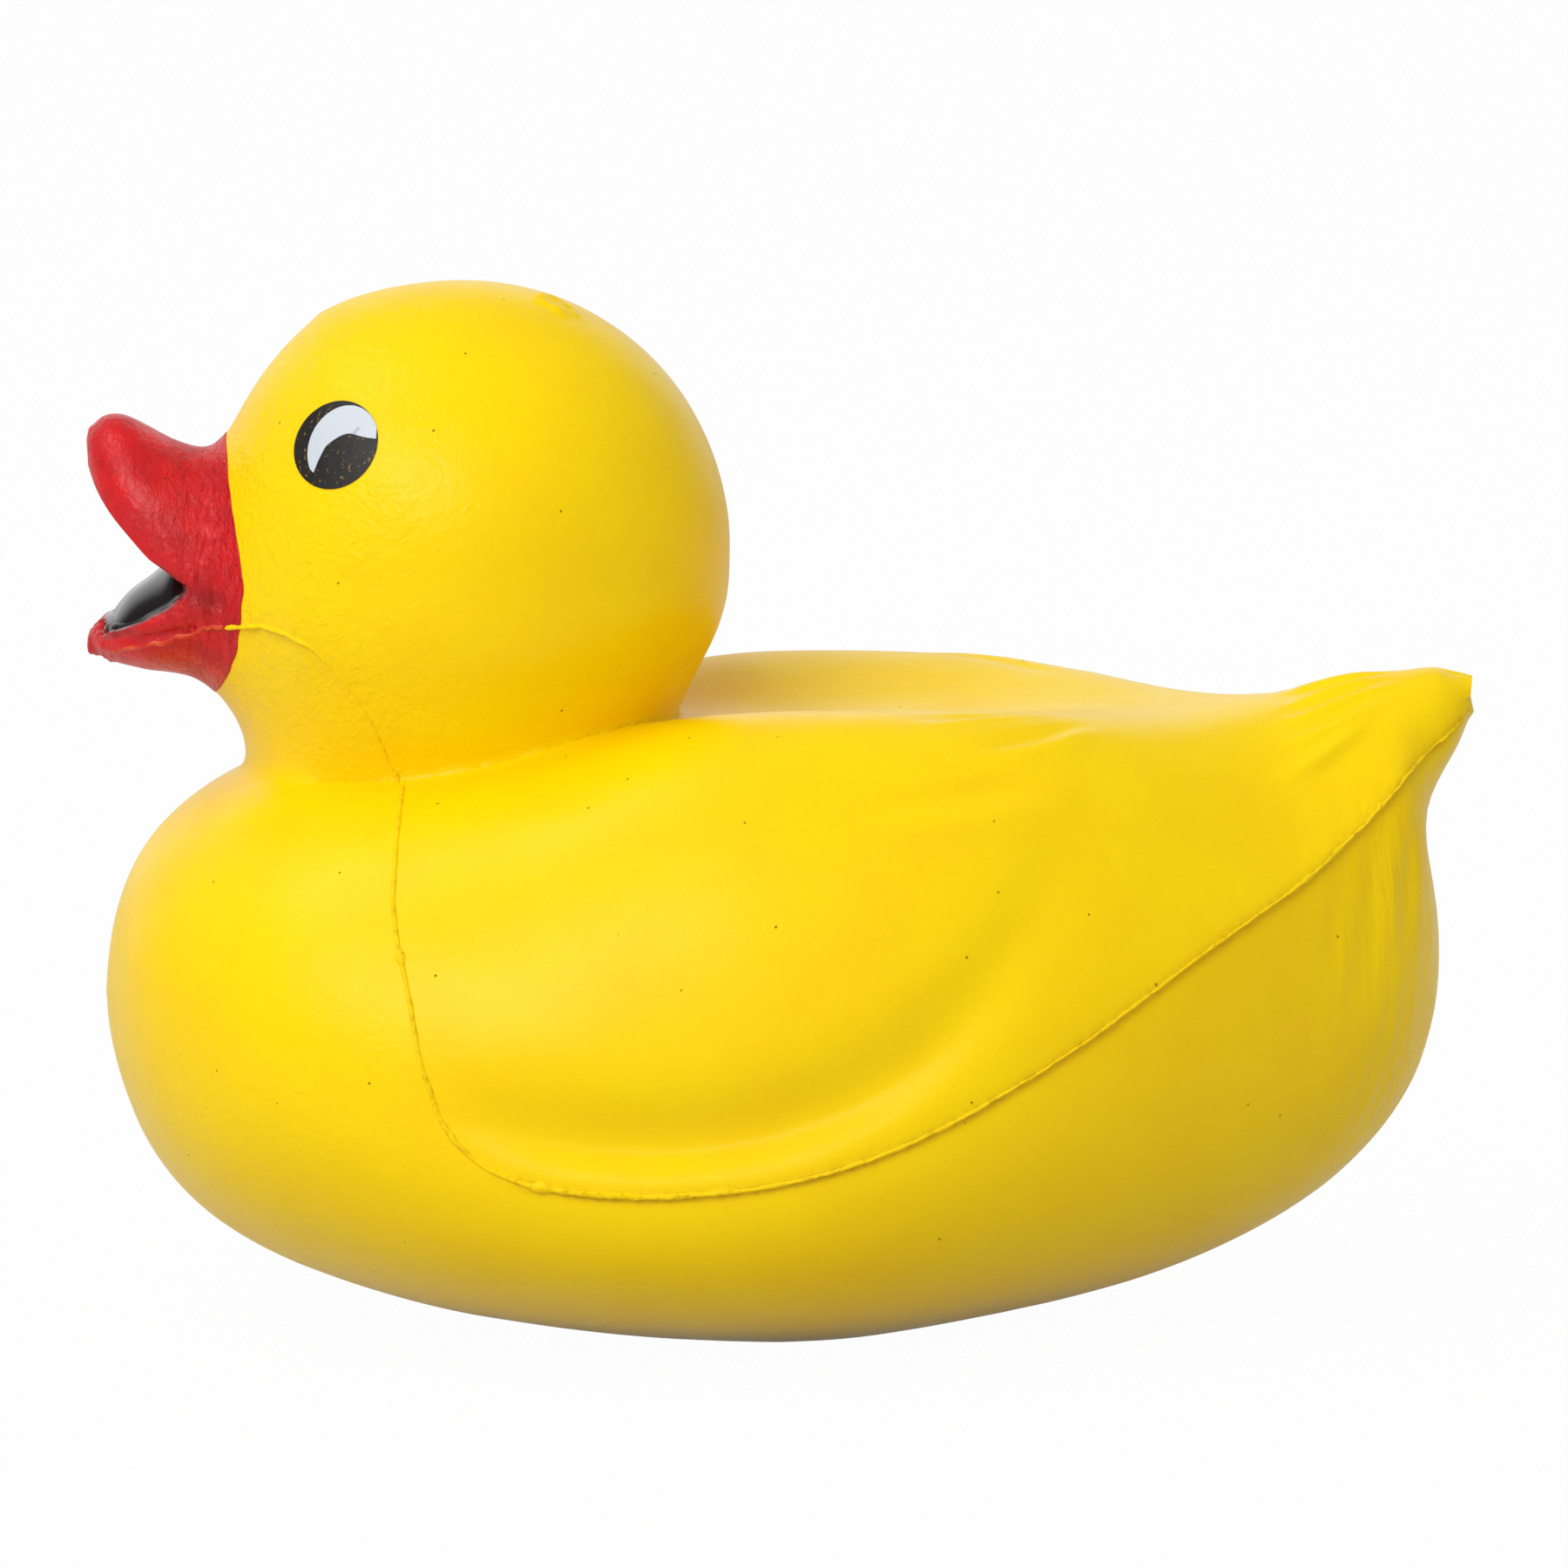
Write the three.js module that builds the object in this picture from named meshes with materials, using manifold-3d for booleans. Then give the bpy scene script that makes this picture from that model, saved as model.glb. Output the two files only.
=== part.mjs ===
// Duck stress ball: one soft foam moulding, solid right through, standing on a small flat sole.
// Millimetres, +Z up. The duck looks along -X and rests on z = 0, with its left side towards -Y.
// A lofted body, a turned head and a lofted bill are joined into the one moulding, and the fine
// relief of the mould is laid over them.

import * as THREE from "three";
import { mergeVertices } from "three/addons/utils/BufferGeometryUtils.js";
import Module from "manifold-3d";

const wasm = await Module();
wasm.setup();

// Overall sizes
const BODY_LENGTH = 88.6; // front of the chest to the tip of the tail
const BODY_WIDTH = 63; // across the two wings
const BODY_HEIGHT = 42.4; // sole to the top of the tail
const BODY_SHIFT = 0.5; // the body sits this far back, because the bill reaches past the chest
const CHEST_X = BODY_SHIFT - BODY_LENGTH / 2;
const HEAD_RADIUS = 17;
const HEAD_LIFT = 8; // centre of the head above the top of the tail
const HEAD_ALONG = 0.263; // centre of the head, as a share of the body length

// Wings and back
const DISH_DEPTH = 4.2; // hollow of the back between the two wing crests
const DISH_HALF_WIDTH = 13;
const VALLEY_DEPTH = 1.1; // groove that sets the wing off from its lower flange
const SEAM_RIDGE = 0.25; // the mould's flash stands proud along the parting line
const SEAM_HALF_WIDTH = 0.35;

// Lines of the body, one entry a station, from the front of the chest to the tip of the tail.
// Along and up are shares of the body length and height, and the half width of half the body width.
const KEEL_ALONG = [
  0, 0.006, 0.025, 0.055, 0.1, 0.161, 0.24, 0.335, 0.438, 0.54,
  0.641, 0.748, 0.839, 0.907, 0.951, 0.971, 0.969, 0.963, 0.982, 0.997,
];
const KEEL_UP = [
  0.502, 0.415, 0.302, 0.211, 0.138, 0.083, 0.038, 0.008, -0.011, -0.011,
  0.018, 0.067, 0.143, 0.241, 0.361, 0.506, 0.66, 0.778, 0.866, 0.936,
];
const BACK_ALONG = [
  0, 0.004, 0.018, 0.047, 0.093, 0.15, 0.229, 0.325, 0.432, 0.534,
  0.63, 0.72, 0.793, 0.844, 0.878, 0.905, 0.93, 0.953, 0.974, 0.994,
];
const BACK_UP = [
  0.502, 0.59, 0.684, 0.767, 0.834, 0.877, 0.905, 0.918, 0.924, 0.927,
  0.932, 0.938, 0.945, 0.953, 0.965, 0.979, 0.989, 0.996, 0.997, 0.981,
];
const HALF_WIDTH = [
  0, 0.165, 0.365, 0.546, 0.708, 0.835, 0.935, 0.99, 1, 0.98,
  0.913, 0.79, 0.64, 0.5, 0.395, 0.32, 0.255, 0.19, 0.12, 0.045,
];
// Height of the parting line in each section, as a share of the way from keel to back
const SEAM_SHARE = [
  0.5, 0.5, 0.49, 0.475, 0.46, 0.43, 0.375, 0.334, 0.339, 0.378,
  0.449, 0.55, 0.633, 0.668, 0.68, 0.66, 0.6, 0.47, 0.36, 0.3,
];
// How far the belly swells out below the parting line, in millimetres
const BELLY_SWELL = [
  0, 0, 0, 0, 0, 0, 0, 0, 0, 0,
  0.1, 0.3, 0.6, 0.8, 0.8, 0.6, 0.3, 0.1, 0, 0,
];
// How strong the dish of the back and the groove of the wing are in each section
const DISH = [
  0, 0, 0, 0, 0, 0, 0, 0.3, 0.93, 1.08,
  0.98, 0.78, 0.3, 0, 0, 0, 0, 0, 0, 0,
];
const VALLEY = [
  0, 0, 0, 0, 0, 0, 0.05, 0.8, 1, 0.95,
  0.62, 0.15, 0, 0, 0, 0, 0, 0, 0, 0,
];
// Distance from the parting line up to the groove, in millimetres
const VALLEY_RISE = [
  3.2, 3.2, 3.2, 3.2, 3.2, 3.2, 3.2, 3.2, 3.2, 4,
  6.8, 13, 15, 15, 15, 15, 15, 15, 15, 15,
];

// Fullness of the upper half, by the parting line and at the back: 2 is an ellipse, less is sloping
const SIDE_POWER = [
  2.1, 2.1, 2.1, 2.1, 2.1, 2.15, 2.2, 2.15, 2.05, 1.95,
  1.8, 1.6, 1.42, 1.32, 1.28, 1.28, 1.32, 1.45, 1.7, 2,
];
const BACK_POWER = [
  2.1, 2.1, 2.1, 2.1, 2.1, 2.25, 2.5, 2.8, 3, 3,
  3, 2.7, 2.3, 2, 1.85, 1.8, 1.8, 1.9, 2, 2.1,
];

// Natural cubic spline through evenly numbered stations, read at any station number
function splineOf(values) {
  const n = values.length;
  const bend = new Array(n).fill(0);
  const share = new Array(n).fill(0);
  const load = new Array(n).fill(0);
  for (let i = 1; i < n - 1; i += 1) {
    const pivot = 4 - share[i - 1];
    share[i] = 1 / pivot;
    load[i] = (6 * (values[i + 1] - 2 * values[i] + values[i - 1]) - load[i - 1]) / pivot;
  }
  for (let i = n - 2; i > 0; i -= 1) {
    bend[i] = load[i] - share[i] * bend[i + 1];
  }
  return (t) => {
    const i = Math.min(n - 2, Math.max(0, Math.floor(t)));
    const b = t - i;
    const a = 1 - b;
    const curve = ((a * a * a - a) * bend[i] + (b * b * b - b) * bend[i + 1]) / 6;
    return a * values[i] + b * values[i + 1] + curve;
  };
}

// A closed solid from rings of points, each ring the same length, with a point at either end
function loft(rings, start, end) {
  const around = rings[0].length;
  const points = [start, ...rings.flat(), end];
  const faces = [];
  const last = points.length - 1;
  const at = (ring, k) => 1 + ring * around + (k % around);
  for (let k = 0; k < around; k += 1) {
    faces.push(0, at(0, k + 1), at(0, k));
    faces.push(last, at(rings.length - 1, k), at(rings.length - 1, k + 1));
  }
  for (let r = 0; r < rings.length - 1; r += 1) {
    for (let k = 0; k < around; k += 1) {
      faces.push(at(r, k), at(r, k + 1), at(r + 1, k + 1));
      faces.push(at(r, k), at(r + 1, k + 1), at(r + 1, k));
    }
  }
  const positions = new Float32Array(points.flatMap((p) => [p.x, p.y, p.z]));
  return solid(positions, new Uint32Array(faces));
}

function solid(vertProperties, triVerts) {
  return new wasm.Manifold(new wasm.Mesh({ numProp: 3, vertProperties, triVerts }));
}

// A three.js geometry as a solid, with its seams closed
function solidOf(shape) {
  shape.deleteAttribute("normal");
  shape.deleteAttribute("uv");
  const closed = mergeVertices(shape, 1e-3);
  return solid(closed.attributes.position.array, new Uint32Array(closed.index.array));
}

// Body: a lofted shell of sections that fan out from the chest and close again at the tail
const line = {
  keelAlong: splineOf(KEEL_ALONG),
  keelUp: splineOf(KEEL_UP),
  backAlong: splineOf(BACK_ALONG),
  backUp: splineOf(BACK_UP),
  halfWidth: splineOf(HALF_WIDTH),
  seamShare: splineOf(SEAM_SHARE),
  swell: splineOf(BELLY_SWELL),
  dish: splineOf(DISH),
  valley: splineOf(VALLEY),
  valleyRise: splineOf(VALLEY_RISE),
  sidePower: splineOf(SIDE_POWER),
  backPower: splineOf(BACK_POWER),
};
const LAST_STATION = KEEL_ALONG.length - 1;
const TAIL_TIP_UP = 0.968; // height of the tip of the tail, as a share of the body height
const LOWER_STEPS = 9; // points from keel to parting line
const UPPER_STEPS = 18; // points from parting line to the middle of the back
const LOWER_POWER = 2.15; // fullness of the belly
const RIDGE_FROM = [6, 7]; // stations where the flash starts on the parting line
const VALLEY_UNDER = 0.5; // reach of the groove below its middle, as a share of its rise
const VALLEY_OVER = [2, 0.22]; // and above it, in millimetres and as a share of its rise
const CROWN_DRAW = 1.15; // draws the points of the upper half down towards the parting line

function bodySection(t) {
  const keel = new THREE.Vector3(
    CHEST_X + line.keelAlong(t) * BODY_LENGTH, 0, line.keelUp(t) * BODY_HEIGHT,
  );
  const back = new THREE.Vector3(
    CHEST_X + line.backAlong(t) * BODY_LENGTH, 0, line.backUp(t) * BODY_HEIGHT,
  );
  const up = back.clone().sub(keel);
  const height = up.length();
  up.normalize();
  const half = line.halfWidth(t) * BODY_WIDTH / 2;
  const seam = line.seamShare(t) * height;
  const dish = Math.max(0, line.dish(t)) * DISH_DEPTH;
  const valley = Math.max(0, line.valley(t)) * VALLEY_DEPTH;
  const ridge = SEAM_RIDGE * THREE.MathUtils.smoothstep(t, ...RIDGE_FROM);

  // Each point is out from the middle and up from the keel
  const side = [];
  for (let k = 0; k < LOWER_STEPS; k += 1) {
    const turn = (Math.PI / 2) * (k / LOWER_STEPS);
    const out = half * Math.sin(turn) ** (2 / LOWER_POWER);
    const rise = seam * (1 - Math.cos(turn) ** (2 / LOWER_POWER));
    const swell = Math.max(0, line.swell(t)) * Math.sin(2 * turn) ** 2;
    side.push(new THREE.Vector2(out + swell, rise));
  }
  const edge = Math.min(SEAM_HALF_WIDTH, half / 8);
  const skirt = side.at(-1).clone().sub(new THREE.Vector2(half, seam)).normalize();
  side.push(new THREE.Vector2(half, seam).addScaledVector(skirt, edge));
  side.push(new THREE.Vector2(half + ridge * Math.min(1, half), seam));
  const upper = [];
  for (let k = 0; k <= UPPER_STEPS; k += 1) {
    const turn = (Math.PI / 2) * (k / UPPER_STEPS) ** CROWN_DRAW;
    const power = THREE.MathUtils.lerp(line.sidePower(t), line.backPower(t), Math.sin(turn) ** 2);
    const out = half * Math.cos(turn) ** (2 / power);
    const lift = (height + dish - seam) * Math.sin(turn) ** (2 / power);
    const hollow = dish * Math.exp(-((out / DISH_HALF_WIDTH) ** 2));
    upper.push(new THREE.Vector2(out, seam + lift - hollow));
  }
  // The groove follows the parting line at its own distance up the side
  let walked = 0;
  const grooved = upper.map((p, k) => {
    if (k > 0) walked += p.distanceTo(upper[k - 1]);
    const before = upper[Math.max(0, k - 1)];
    const after = upper[Math.min(UPPER_STEPS, k + 1)];
    const inward = new THREE.Vector2(before.y - after.y, after.x - before.x).normalize();
    const rise = line.valleyRise(t);
    const spread = walked < rise ? VALLEY_UNDER * rise : VALLEY_OVER[0] + VALLEY_OVER[1] * rise;
    const depth = valley * Math.exp(-(((walked - rise) / spread) ** 2));
    return p.clone().addScaledVector(inward, depth);
  });
  grooved[0] = upper[0].clone().lerp(upper[1], Math.min(1, edge / upper[0].distanceTo(upper[1])));
  side.push(...grooved);

  const place = (p, sign) => keel.clone().addScaledVector(up, p.y).add(new THREE.Vector3(0, sign * p.x, 0));
  const right = side.map((p) => place(p, 1));
  const left = side.slice(1, -1).reverse().map((p) => place(p, -1));
  return [...right, ...left];
}

// Sections are placed evenly between these stations, closest together on the rear half
const SPACING = [
  // from, until, steps
  [0.35, 2, 4],
  [2, 8, 14],
  [8, 19, 33],
];

function body() {
  const stations = SPACING.flatMap(([from, until, steps]) => (
    Array.from({ length: steps }, (_, k) => from + (until - from) * (k / steps))
  ));
  stations.push(LAST_STATION);
  const rings = stations.map(bodySection);
  const nose = new THREE.Vector3(CHEST_X, 0, KEEL_UP[0] * BODY_HEIGHT);
  const tip = new THREE.Vector3(CHEST_X + BODY_LENGTH, 0, TAIL_TIP_UP * BODY_HEIGHT);
  return loft(rings, nose, tip);
}

// Head: a turned egg on a short neck that leans a little forward
const HEAD_X = CHEST_X + HEAD_ALONG * BODY_LENGTH;
const HEAD_Z = BODY_HEIGHT + HEAD_LIFT;
const NECK_PROFILE = [
  // radius and height from the centre, as shares of the head radius
  [0.755, -1.1],
  [0.755, -0.93],
  [0.77, -0.82],
  [0.802, -0.73],
  [0.846, -0.63],
  [0.888, -0.53],
  [0.936, -0.42],
  [0.978, -0.315],
  [1.001, -0.2],
  [1.004, -0.1],
];
const NECK_LEAN = 0.065; // forward shift for each millimetre below the centre
const BROW = 0.04; // the brow swells by this share of the radius
const BROW_ANGLE = 55; // degrees above the horizon, seen from the side
const BROW_SPREAD = 19;
const HEAD_SIDES = 46;
const DOME_STEPS = 16;

function head() {
  const profile = [new THREE.Vector2(0, NECK_PROFILE[0][1] * HEAD_RADIUS)];
  NECK_PROFILE.forEach(([r, z]) => profile.push(new THREE.Vector2(r * HEAD_RADIUS, z * HEAD_RADIUS)));
  for (let k = 0; k <= DOME_STEPS; k += 1) {
    const turn = (Math.PI / 2) * (k / DOME_STEPS);
    profile.push(new THREE.Vector2(HEAD_RADIUS * Math.cos(turn), HEAD_RADIUS * Math.sin(turn)));
  }
  profile.at(-1).x = 0;
  const turned = new THREE.LatheGeometry(profile, HEAD_SIDES).rotateX(Math.PI / 2);
  const spots = turned.attributes.position;
  const p = new THREE.Vector3();
  for (let i = 0; i < spots.count; i += 1) {
    p.fromBufferAttribute(spots, i);
    const angle = THREE.MathUtils.radToDeg(Math.atan2(p.z, -p.x)) - BROW_ANGLE;
    const middle = 1 - (p.y / HEAD_RADIUS) ** 2;
    const brow = BROW * middle * Math.exp(-((angle / BROW_SPREAD) ** 2));
    p.multiplyScalar(1 + brow);
    p.x += NECK_LEAN * Math.min(0, p.z);
    spots.setXYZ(i, p.x + HEAD_X, p.y, p.z + HEAD_Z);
  }
  return solidOf(turned);
}

// Bill and jaw. All in shares of the head radius, forward and up from the centre of the head.
const VISOR = [
  // forward, ridge, lip, half width, roof of the mouth
  [0.618, 0.32, -0.36, 0.52, -0.4],
  [0.8, 0.345, -0.34, 0.505, -0.38],
  [0.94, 0.364, -0.27, 0.486, -0.3],
  [1.059, 0.382, -0.125, 0.45, -0.05],
  [1.165, 0.424, -0.029, 0.406, 0.106],
  [1.259, 0.474, 0.065, 0.359, 0.229],
  [1.335, 0.494, 0.15, 0.294, 0.324],
  [1.394, 0.474, 0.236, 0.212, 0.371],
  [1.429, 0.441, 0.318, 0.118, 0.385],
];
const VISOR_TIP = [1.441, 0.4]; // forward, up
const JAW = [
  // forward, rim, keel, half width
  [0.618, -0.2, -0.7, 0.52],
  [0.8, -0.21, -0.66, 0.505],
  [0.924, -0.224, -0.59, 0.488],
  [1.006, -0.232, -0.515, 0.468],
  [1.112, -0.256, -0.483, 0.435],
  [1.241, -0.297, -0.462, 0.365],
  [1.324, -0.318, -0.44, 0.282],
  [1.39, -0.331, -0.422, 0.175],
  [1.427, -0.353, -0.408, 0.08],
];
const JAW_TIP = [1.439, -0.384];
const TONGUE = [
  // forward, top, half width
  [0.8, -0.05, 0.42],
  [1.059, -0.071, 0.406],
  [1.153, -0.091, 0.365],
  [1.241, -0.135, 0.306],
  [1.294, -0.171, 0.253],
  [1.341, -0.224, 0.182],
  [1.376, -0.288, 0.106],
];
const TONGUE_TIP = [1.388, -0.33];
const TONGUE_BASE = -0.33;
const LIP_THICKNESS = 0.075;
const BILL_ARCH = 0.9; // below 1 the bill's cross section is fuller than an ellipse
const JAW_ARCH = 0.8;
const JAW_BED = 0.04; // the bed of the jaw rises this much between its rims
const OUTER_STEPS = 16;
const INNER_STEPS = 10;
const TONGUE_STEPS = 14;

// Rows of a table read as smooth lines, sampled at a number of even steps
function rowsOf(table, steps) {
  const columns = table[0].map((_, c) => splineOf(table.map((row) => row[c])));
  const rows = [];
  for (let k = 0; k <= steps; k += 1) {
    const t = (table.length - 1) * (k / steps);
    rows.push(columns.map((column) => column(t) * HEAD_RADIUS));
  }
  return rows;
}

function onHead(forward, out, up) {
  return new THREE.Vector3(HEAD_X - forward, out, HEAD_Z + up);
}

function upperBill() {
  const lipThickness = LIP_THICKNESS * HEAD_RADIUS;
  const rings = rowsOf(VISOR, 18).map(([forward, ridge, lip, half, roof]) => {
    const ring = [];
    for (let k = 0; k <= OUTER_STEPS; k += 1) {
      const turn = Math.PI * (k / OUTER_STEPS - 0.5);
      ring.push(onHead(forward, half * Math.sin(turn), lip + (ridge - lip) * Math.cos(turn) ** BILL_ARCH));
    }
    const inner = Math.max(half * 0.6, half - lipThickness);
    for (let k = INNER_STEPS; k >= 0; k -= 1) {
      const turn = Math.PI * (k / INNER_STEPS - 0.5);
      ring.push(onHead(forward, inner * Math.sin(turn), lip + (roof - lip) * Math.cos(turn)));
    }
    return ring;
  });
  const root = onHead(VISOR[0][0] * HEAD_RADIUS, 0, 0);
  const tip = onHead(VISOR_TIP[0] * HEAD_RADIUS, 0, VISOR_TIP[1] * HEAD_RADIUS);
  return loft(rings, root, tip);
}

function lowerJaw() {
  const rings = rowsOf(JAW, 16).map(([forward, rim, keel, half]) => {
    const ring = [];
    for (let k = 0; k <= OUTER_STEPS; k += 1) {
      const turn = Math.PI * (0.5 - k / OUTER_STEPS);
      ring.push(onHead(forward, half * Math.sin(turn), rim + (keel - rim) * Math.cos(turn) ** JAW_ARCH));
    }
    for (let k = 1; k <= 5; k += 1) {
      const turn = Math.PI * (k / 6 - 0.5);
      ring.push(onHead(forward, 0.9 * half * Math.sin(turn), rim + JAW_BED * HEAD_RADIUS * Math.cos(turn)));
    }
    return ring;
  });
  const root = onHead(JAW[0][0] * HEAD_RADIUS, 0, (JAW[0][1] + JAW[0][2]) / 2 * HEAD_RADIUS);
  const tip = onHead(JAW_TIP[0] * HEAD_RADIUS, 0, JAW_TIP[1] * HEAD_RADIUS);
  return loft(rings, root, tip);
}

function tongue() {
  const base = TONGUE_BASE * HEAD_RADIUS;
  const rings = rowsOf(TONGUE, TONGUE_STEPS).map(([forward, top, half]) => {
    const ring = [];
    for (let k = 0; k <= TONGUE_STEPS; k += 1) {
      const turn = Math.PI * (k / TONGUE_STEPS - 0.5);
      ring.push(onHead(forward, half * Math.sin(turn), base + (top - base) * Math.cos(turn) ** JAW_ARCH));
    }
    ring.push(onHead(forward, 0, base - 0.03 * HEAD_RADIUS));
    return ring;
  });
  const root = onHead(TONGUE[0][0] * HEAD_RADIUS, 0, (TONGUE[0][1] + TONGUE_BASE) / 2 * HEAD_RADIUS);
  const tip = onHead(TONGUE_TIP[0] * HEAD_RADIUS, 0, TONGUE_TIP[1] * HEAD_RADIUS);
  return loft(rings, root, tip);
}

// Fine relief, laid over the joined form: mould flash, tail feathers and wing feathers
const WING_FLASH = { halfWidth: 0.3, height: 0.25, steps: 20 };
const CHEEK_FLASH = { halfWidth: 0.3, height: 0.25, steps: 13 };
const FEATHER_RIB = { halfWidth: 0.55, height: 0.22, steps: 5 };
const FEATHER_GROOVE = { halfWidth: 0.75, height: 0.3, steps: 5 };
// Each path is along and up the body in shares of its length and height, seen from the side
const WING_FRONT_LINE = [
  [0.219, 0.868], [0.213, 0.785], [0.212, 0.7], [0.219, 0.632],
  [0.23, 0.515], [0.239, 0.457], [0.25, 0.405], [0.266, 0.366], [0.31, 0.318],
];
// Forward and up from the centre of the head in shares of its radius, ending at the bill's root
const CHEEK_LINE = [
  [0.275, -0.77], [0.349, -0.565], [0.448, -0.41], [0.564, -0.29],
  [0.68, -0.241], [0.779, -0.23], [0.915, -0.256],
];
// Along and out, in shares of the body length and half width, seen from above
const TAIL_RIBS = [
  [[0.862, 0], [0.93, 0]],
  [[0.866, 0.1], [0.925, 0.03]],
  [[0.866, 0.175], [0.928, 0.085]],
  [[0.868, 0.245], [0.925, 0.135]],
  [[0.865, 0.32], [0.914, 0.18]],
];
const WING_GROOVES = [
  [[0.575, 0.7], [0.675, 0.635]],
  [[0.645, 0.55], [0.71, 0.39]],
  [[0.605, 0.45], [0.685, 0.3]],
];
const SPRUE_RADIUS = 1.2; // stub left on the crown where the foam was poured
const SPRUE_HEIGHT = 0.25;
const SPRUE_LEAN = [22, 8]; // degrees back and to the left of the top of the head

function meshOf(made) {
  const drawn = made.getMesh();
  const shape = new THREE.BufferGeometry()
    .setAttribute("position", new THREE.BufferAttribute(new Float32Array(drawn.vertProperties), 3))
    .setIndex(new THREE.BufferAttribute(new Uint32Array(drawn.triVerts), 1));
  shape.computeVertexNormals();
  return new THREE.Mesh(shape, new THREE.MeshStandardMaterial({ color: 0xffde00, roughness: 0.55 }));
}

// A slim bar of diamond section laid along a path on the surface, pointed at both ends
function bar(surface, path, look, { halfWidth, height, steps }) {
  const caster = new THREE.Raycaster();
  const laid = new THREE.CatmullRomCurve3(path).getSpacedPoints(steps).map((p) => {
    caster.set(p.clone().addScaledVector(look, -BODY_LENGTH), look);
    return caster.intersectObject(surface)[0];
  }).filter((hit) => hit);
  const rings = laid.slice(1, -1).map((hit, k) => {
    const run = laid[k + 2].point.clone().sub(laid[k].point).normalize();
    const out = hit.face.normal.clone();
    const across = run.clone().cross(out).normalize();
    return [[across, halfWidth], [out, -height], [across, -halfWidth], [out, height]]
      .map(([way, far]) => hit.point.clone().addScaledVector(way, far));
  });
  return loft(rings, laid[0].point, laid.at(-1).point);
}

const alongBody = (share) => CHEST_X + share * BODY_LENGTH;
const fromSide = (side) => new THREE.Vector3(0, -side, 0);
const fromAbove = new THREE.Vector3(0, 0, -1);

function sprueStub() {
  const stub = new THREE.CylinderGeometry(SPRUE_RADIUS, SPRUE_RADIUS, 2, 14)
    .rotateX(Math.PI / 2)
    .translate(0, 0, HEAD_RADIUS + SPRUE_HEIGHT - 1)
    .rotateX(THREE.MathUtils.degToRad(SPRUE_LEAN[1]))
    .rotateY(THREE.MathUtils.degToRad(SPRUE_LEAN[0]))
    .translate(HEAD_X, 0, HEAD_Z);
  return solidOf(stub);
}

// Everything is joined into the one moulding, and the belly is cut flat for the sole.
// The relief of the cheek is laid on the head alone and the rest on the body alone, so that none
// of it jumps across the crease of the neck.
const below = new THREE.BoxGeometry(2 * BODY_LENGTH, 2 * BODY_WIDTH, 20).translate(0, 0, -10);
const bodyForm = body();
const headForm = head().add(upperBill()).add(lowerJaw()).add(tongue());
const bodySurface = meshOf(bodyForm);
const headSurface = meshOf(headForm);
let whole = bodyForm.add(headForm).add(sprueStub());
for (const side of [-1, 1]) {
  const wingFront = WING_FRONT_LINE.map(
    ([along, up]) => new THREE.Vector3(alongBody(along), 0, up * BODY_HEIGHT),
  );
  const cheek = CHEEK_LINE.map(
    ([forward, up]) => onHead(forward * HEAD_RADIUS, 0, up * HEAD_RADIUS),
  );
  whole = whole.add(bar(bodySurface, wingFront, fromSide(side), WING_FLASH));
  whole = whole.add(bar(headSurface, cheek, fromSide(side), CHEEK_FLASH));
  const lay = (path) => path.map(
    ([along, out]) => new THREE.Vector3(alongBody(along), side * out * BODY_WIDTH / 2, 0),
  );
  for (const path of TAIL_RIBS.slice(side < 0 ? 0 : 1)) {
    whole = whole.add(bar(bodySurface, lay(path), fromAbove, FEATHER_RIB));
  }
  for (const path of WING_GROOVES) {
    whole = whole.subtract(bar(bodySurface, lay(path), fromAbove, FEATHER_GROOVE));
  }
}

const duck = meshOf(whole.subtract(solidOf(below)));
duck.name = "duck";

const group = new THREE.Group();
group.add(duck);
export default group;
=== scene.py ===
"""A duck stress ball: one soft casting of yellow polyurethane foam, with a painted bill and printed eyes."""

import math

import bpy
import numpy as np
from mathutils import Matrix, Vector, kdtree, noise
from mathutils.bvhtree import BVHTree


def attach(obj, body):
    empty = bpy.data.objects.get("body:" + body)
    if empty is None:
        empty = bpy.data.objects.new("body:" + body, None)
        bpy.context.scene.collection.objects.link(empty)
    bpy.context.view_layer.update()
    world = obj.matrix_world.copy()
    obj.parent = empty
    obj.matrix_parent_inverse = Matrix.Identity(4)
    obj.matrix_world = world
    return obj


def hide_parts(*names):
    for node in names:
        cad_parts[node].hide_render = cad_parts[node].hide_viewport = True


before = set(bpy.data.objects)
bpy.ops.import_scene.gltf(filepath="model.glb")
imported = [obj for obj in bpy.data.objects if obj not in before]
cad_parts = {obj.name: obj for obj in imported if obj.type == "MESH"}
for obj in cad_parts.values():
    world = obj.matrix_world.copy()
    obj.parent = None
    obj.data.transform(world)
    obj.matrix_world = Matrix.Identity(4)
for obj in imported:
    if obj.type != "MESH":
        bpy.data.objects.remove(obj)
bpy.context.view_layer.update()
MM = 0.001

# Camera
# A long lens, square to the duck's left side and looking down at it by RISE.
RISE = math.radians(8.5)
DISTANCE = 2
look = Vector((0, math.cos(RISE), -math.sin(RISE)))
aim = Vector((0, 0, 34.75 * MM))
camera_data = bpy.data.cameras.new("camera")
camera_data.lens = 711
camera_data.sensor_width = 36
camera_data.clip_end = 20
camera = bpy.data.objects.new("camera", camera_data)
camera.location = aim - DISTANCE * look
camera.rotation_euler = (math.radians(90) - RISE, 0, 0)
bpy.context.scene.collection.objects.link(camera)
bpy.context.scene.camera = camera
bpy.context.scene.view_settings.view_transform = "Standard"


def tint(colour):
    """A colour written as sRGB hex, as the linear colour that a socket takes."""
    parts = [int(colour[i : i + 2], 16) / 255 for i in (1, 3, 5)]
    return tuple(c / 12.92 if c < 0.04045 else ((c + 0.055) / 1.055) ** 2.4 for c in parts) + (1,)


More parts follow.
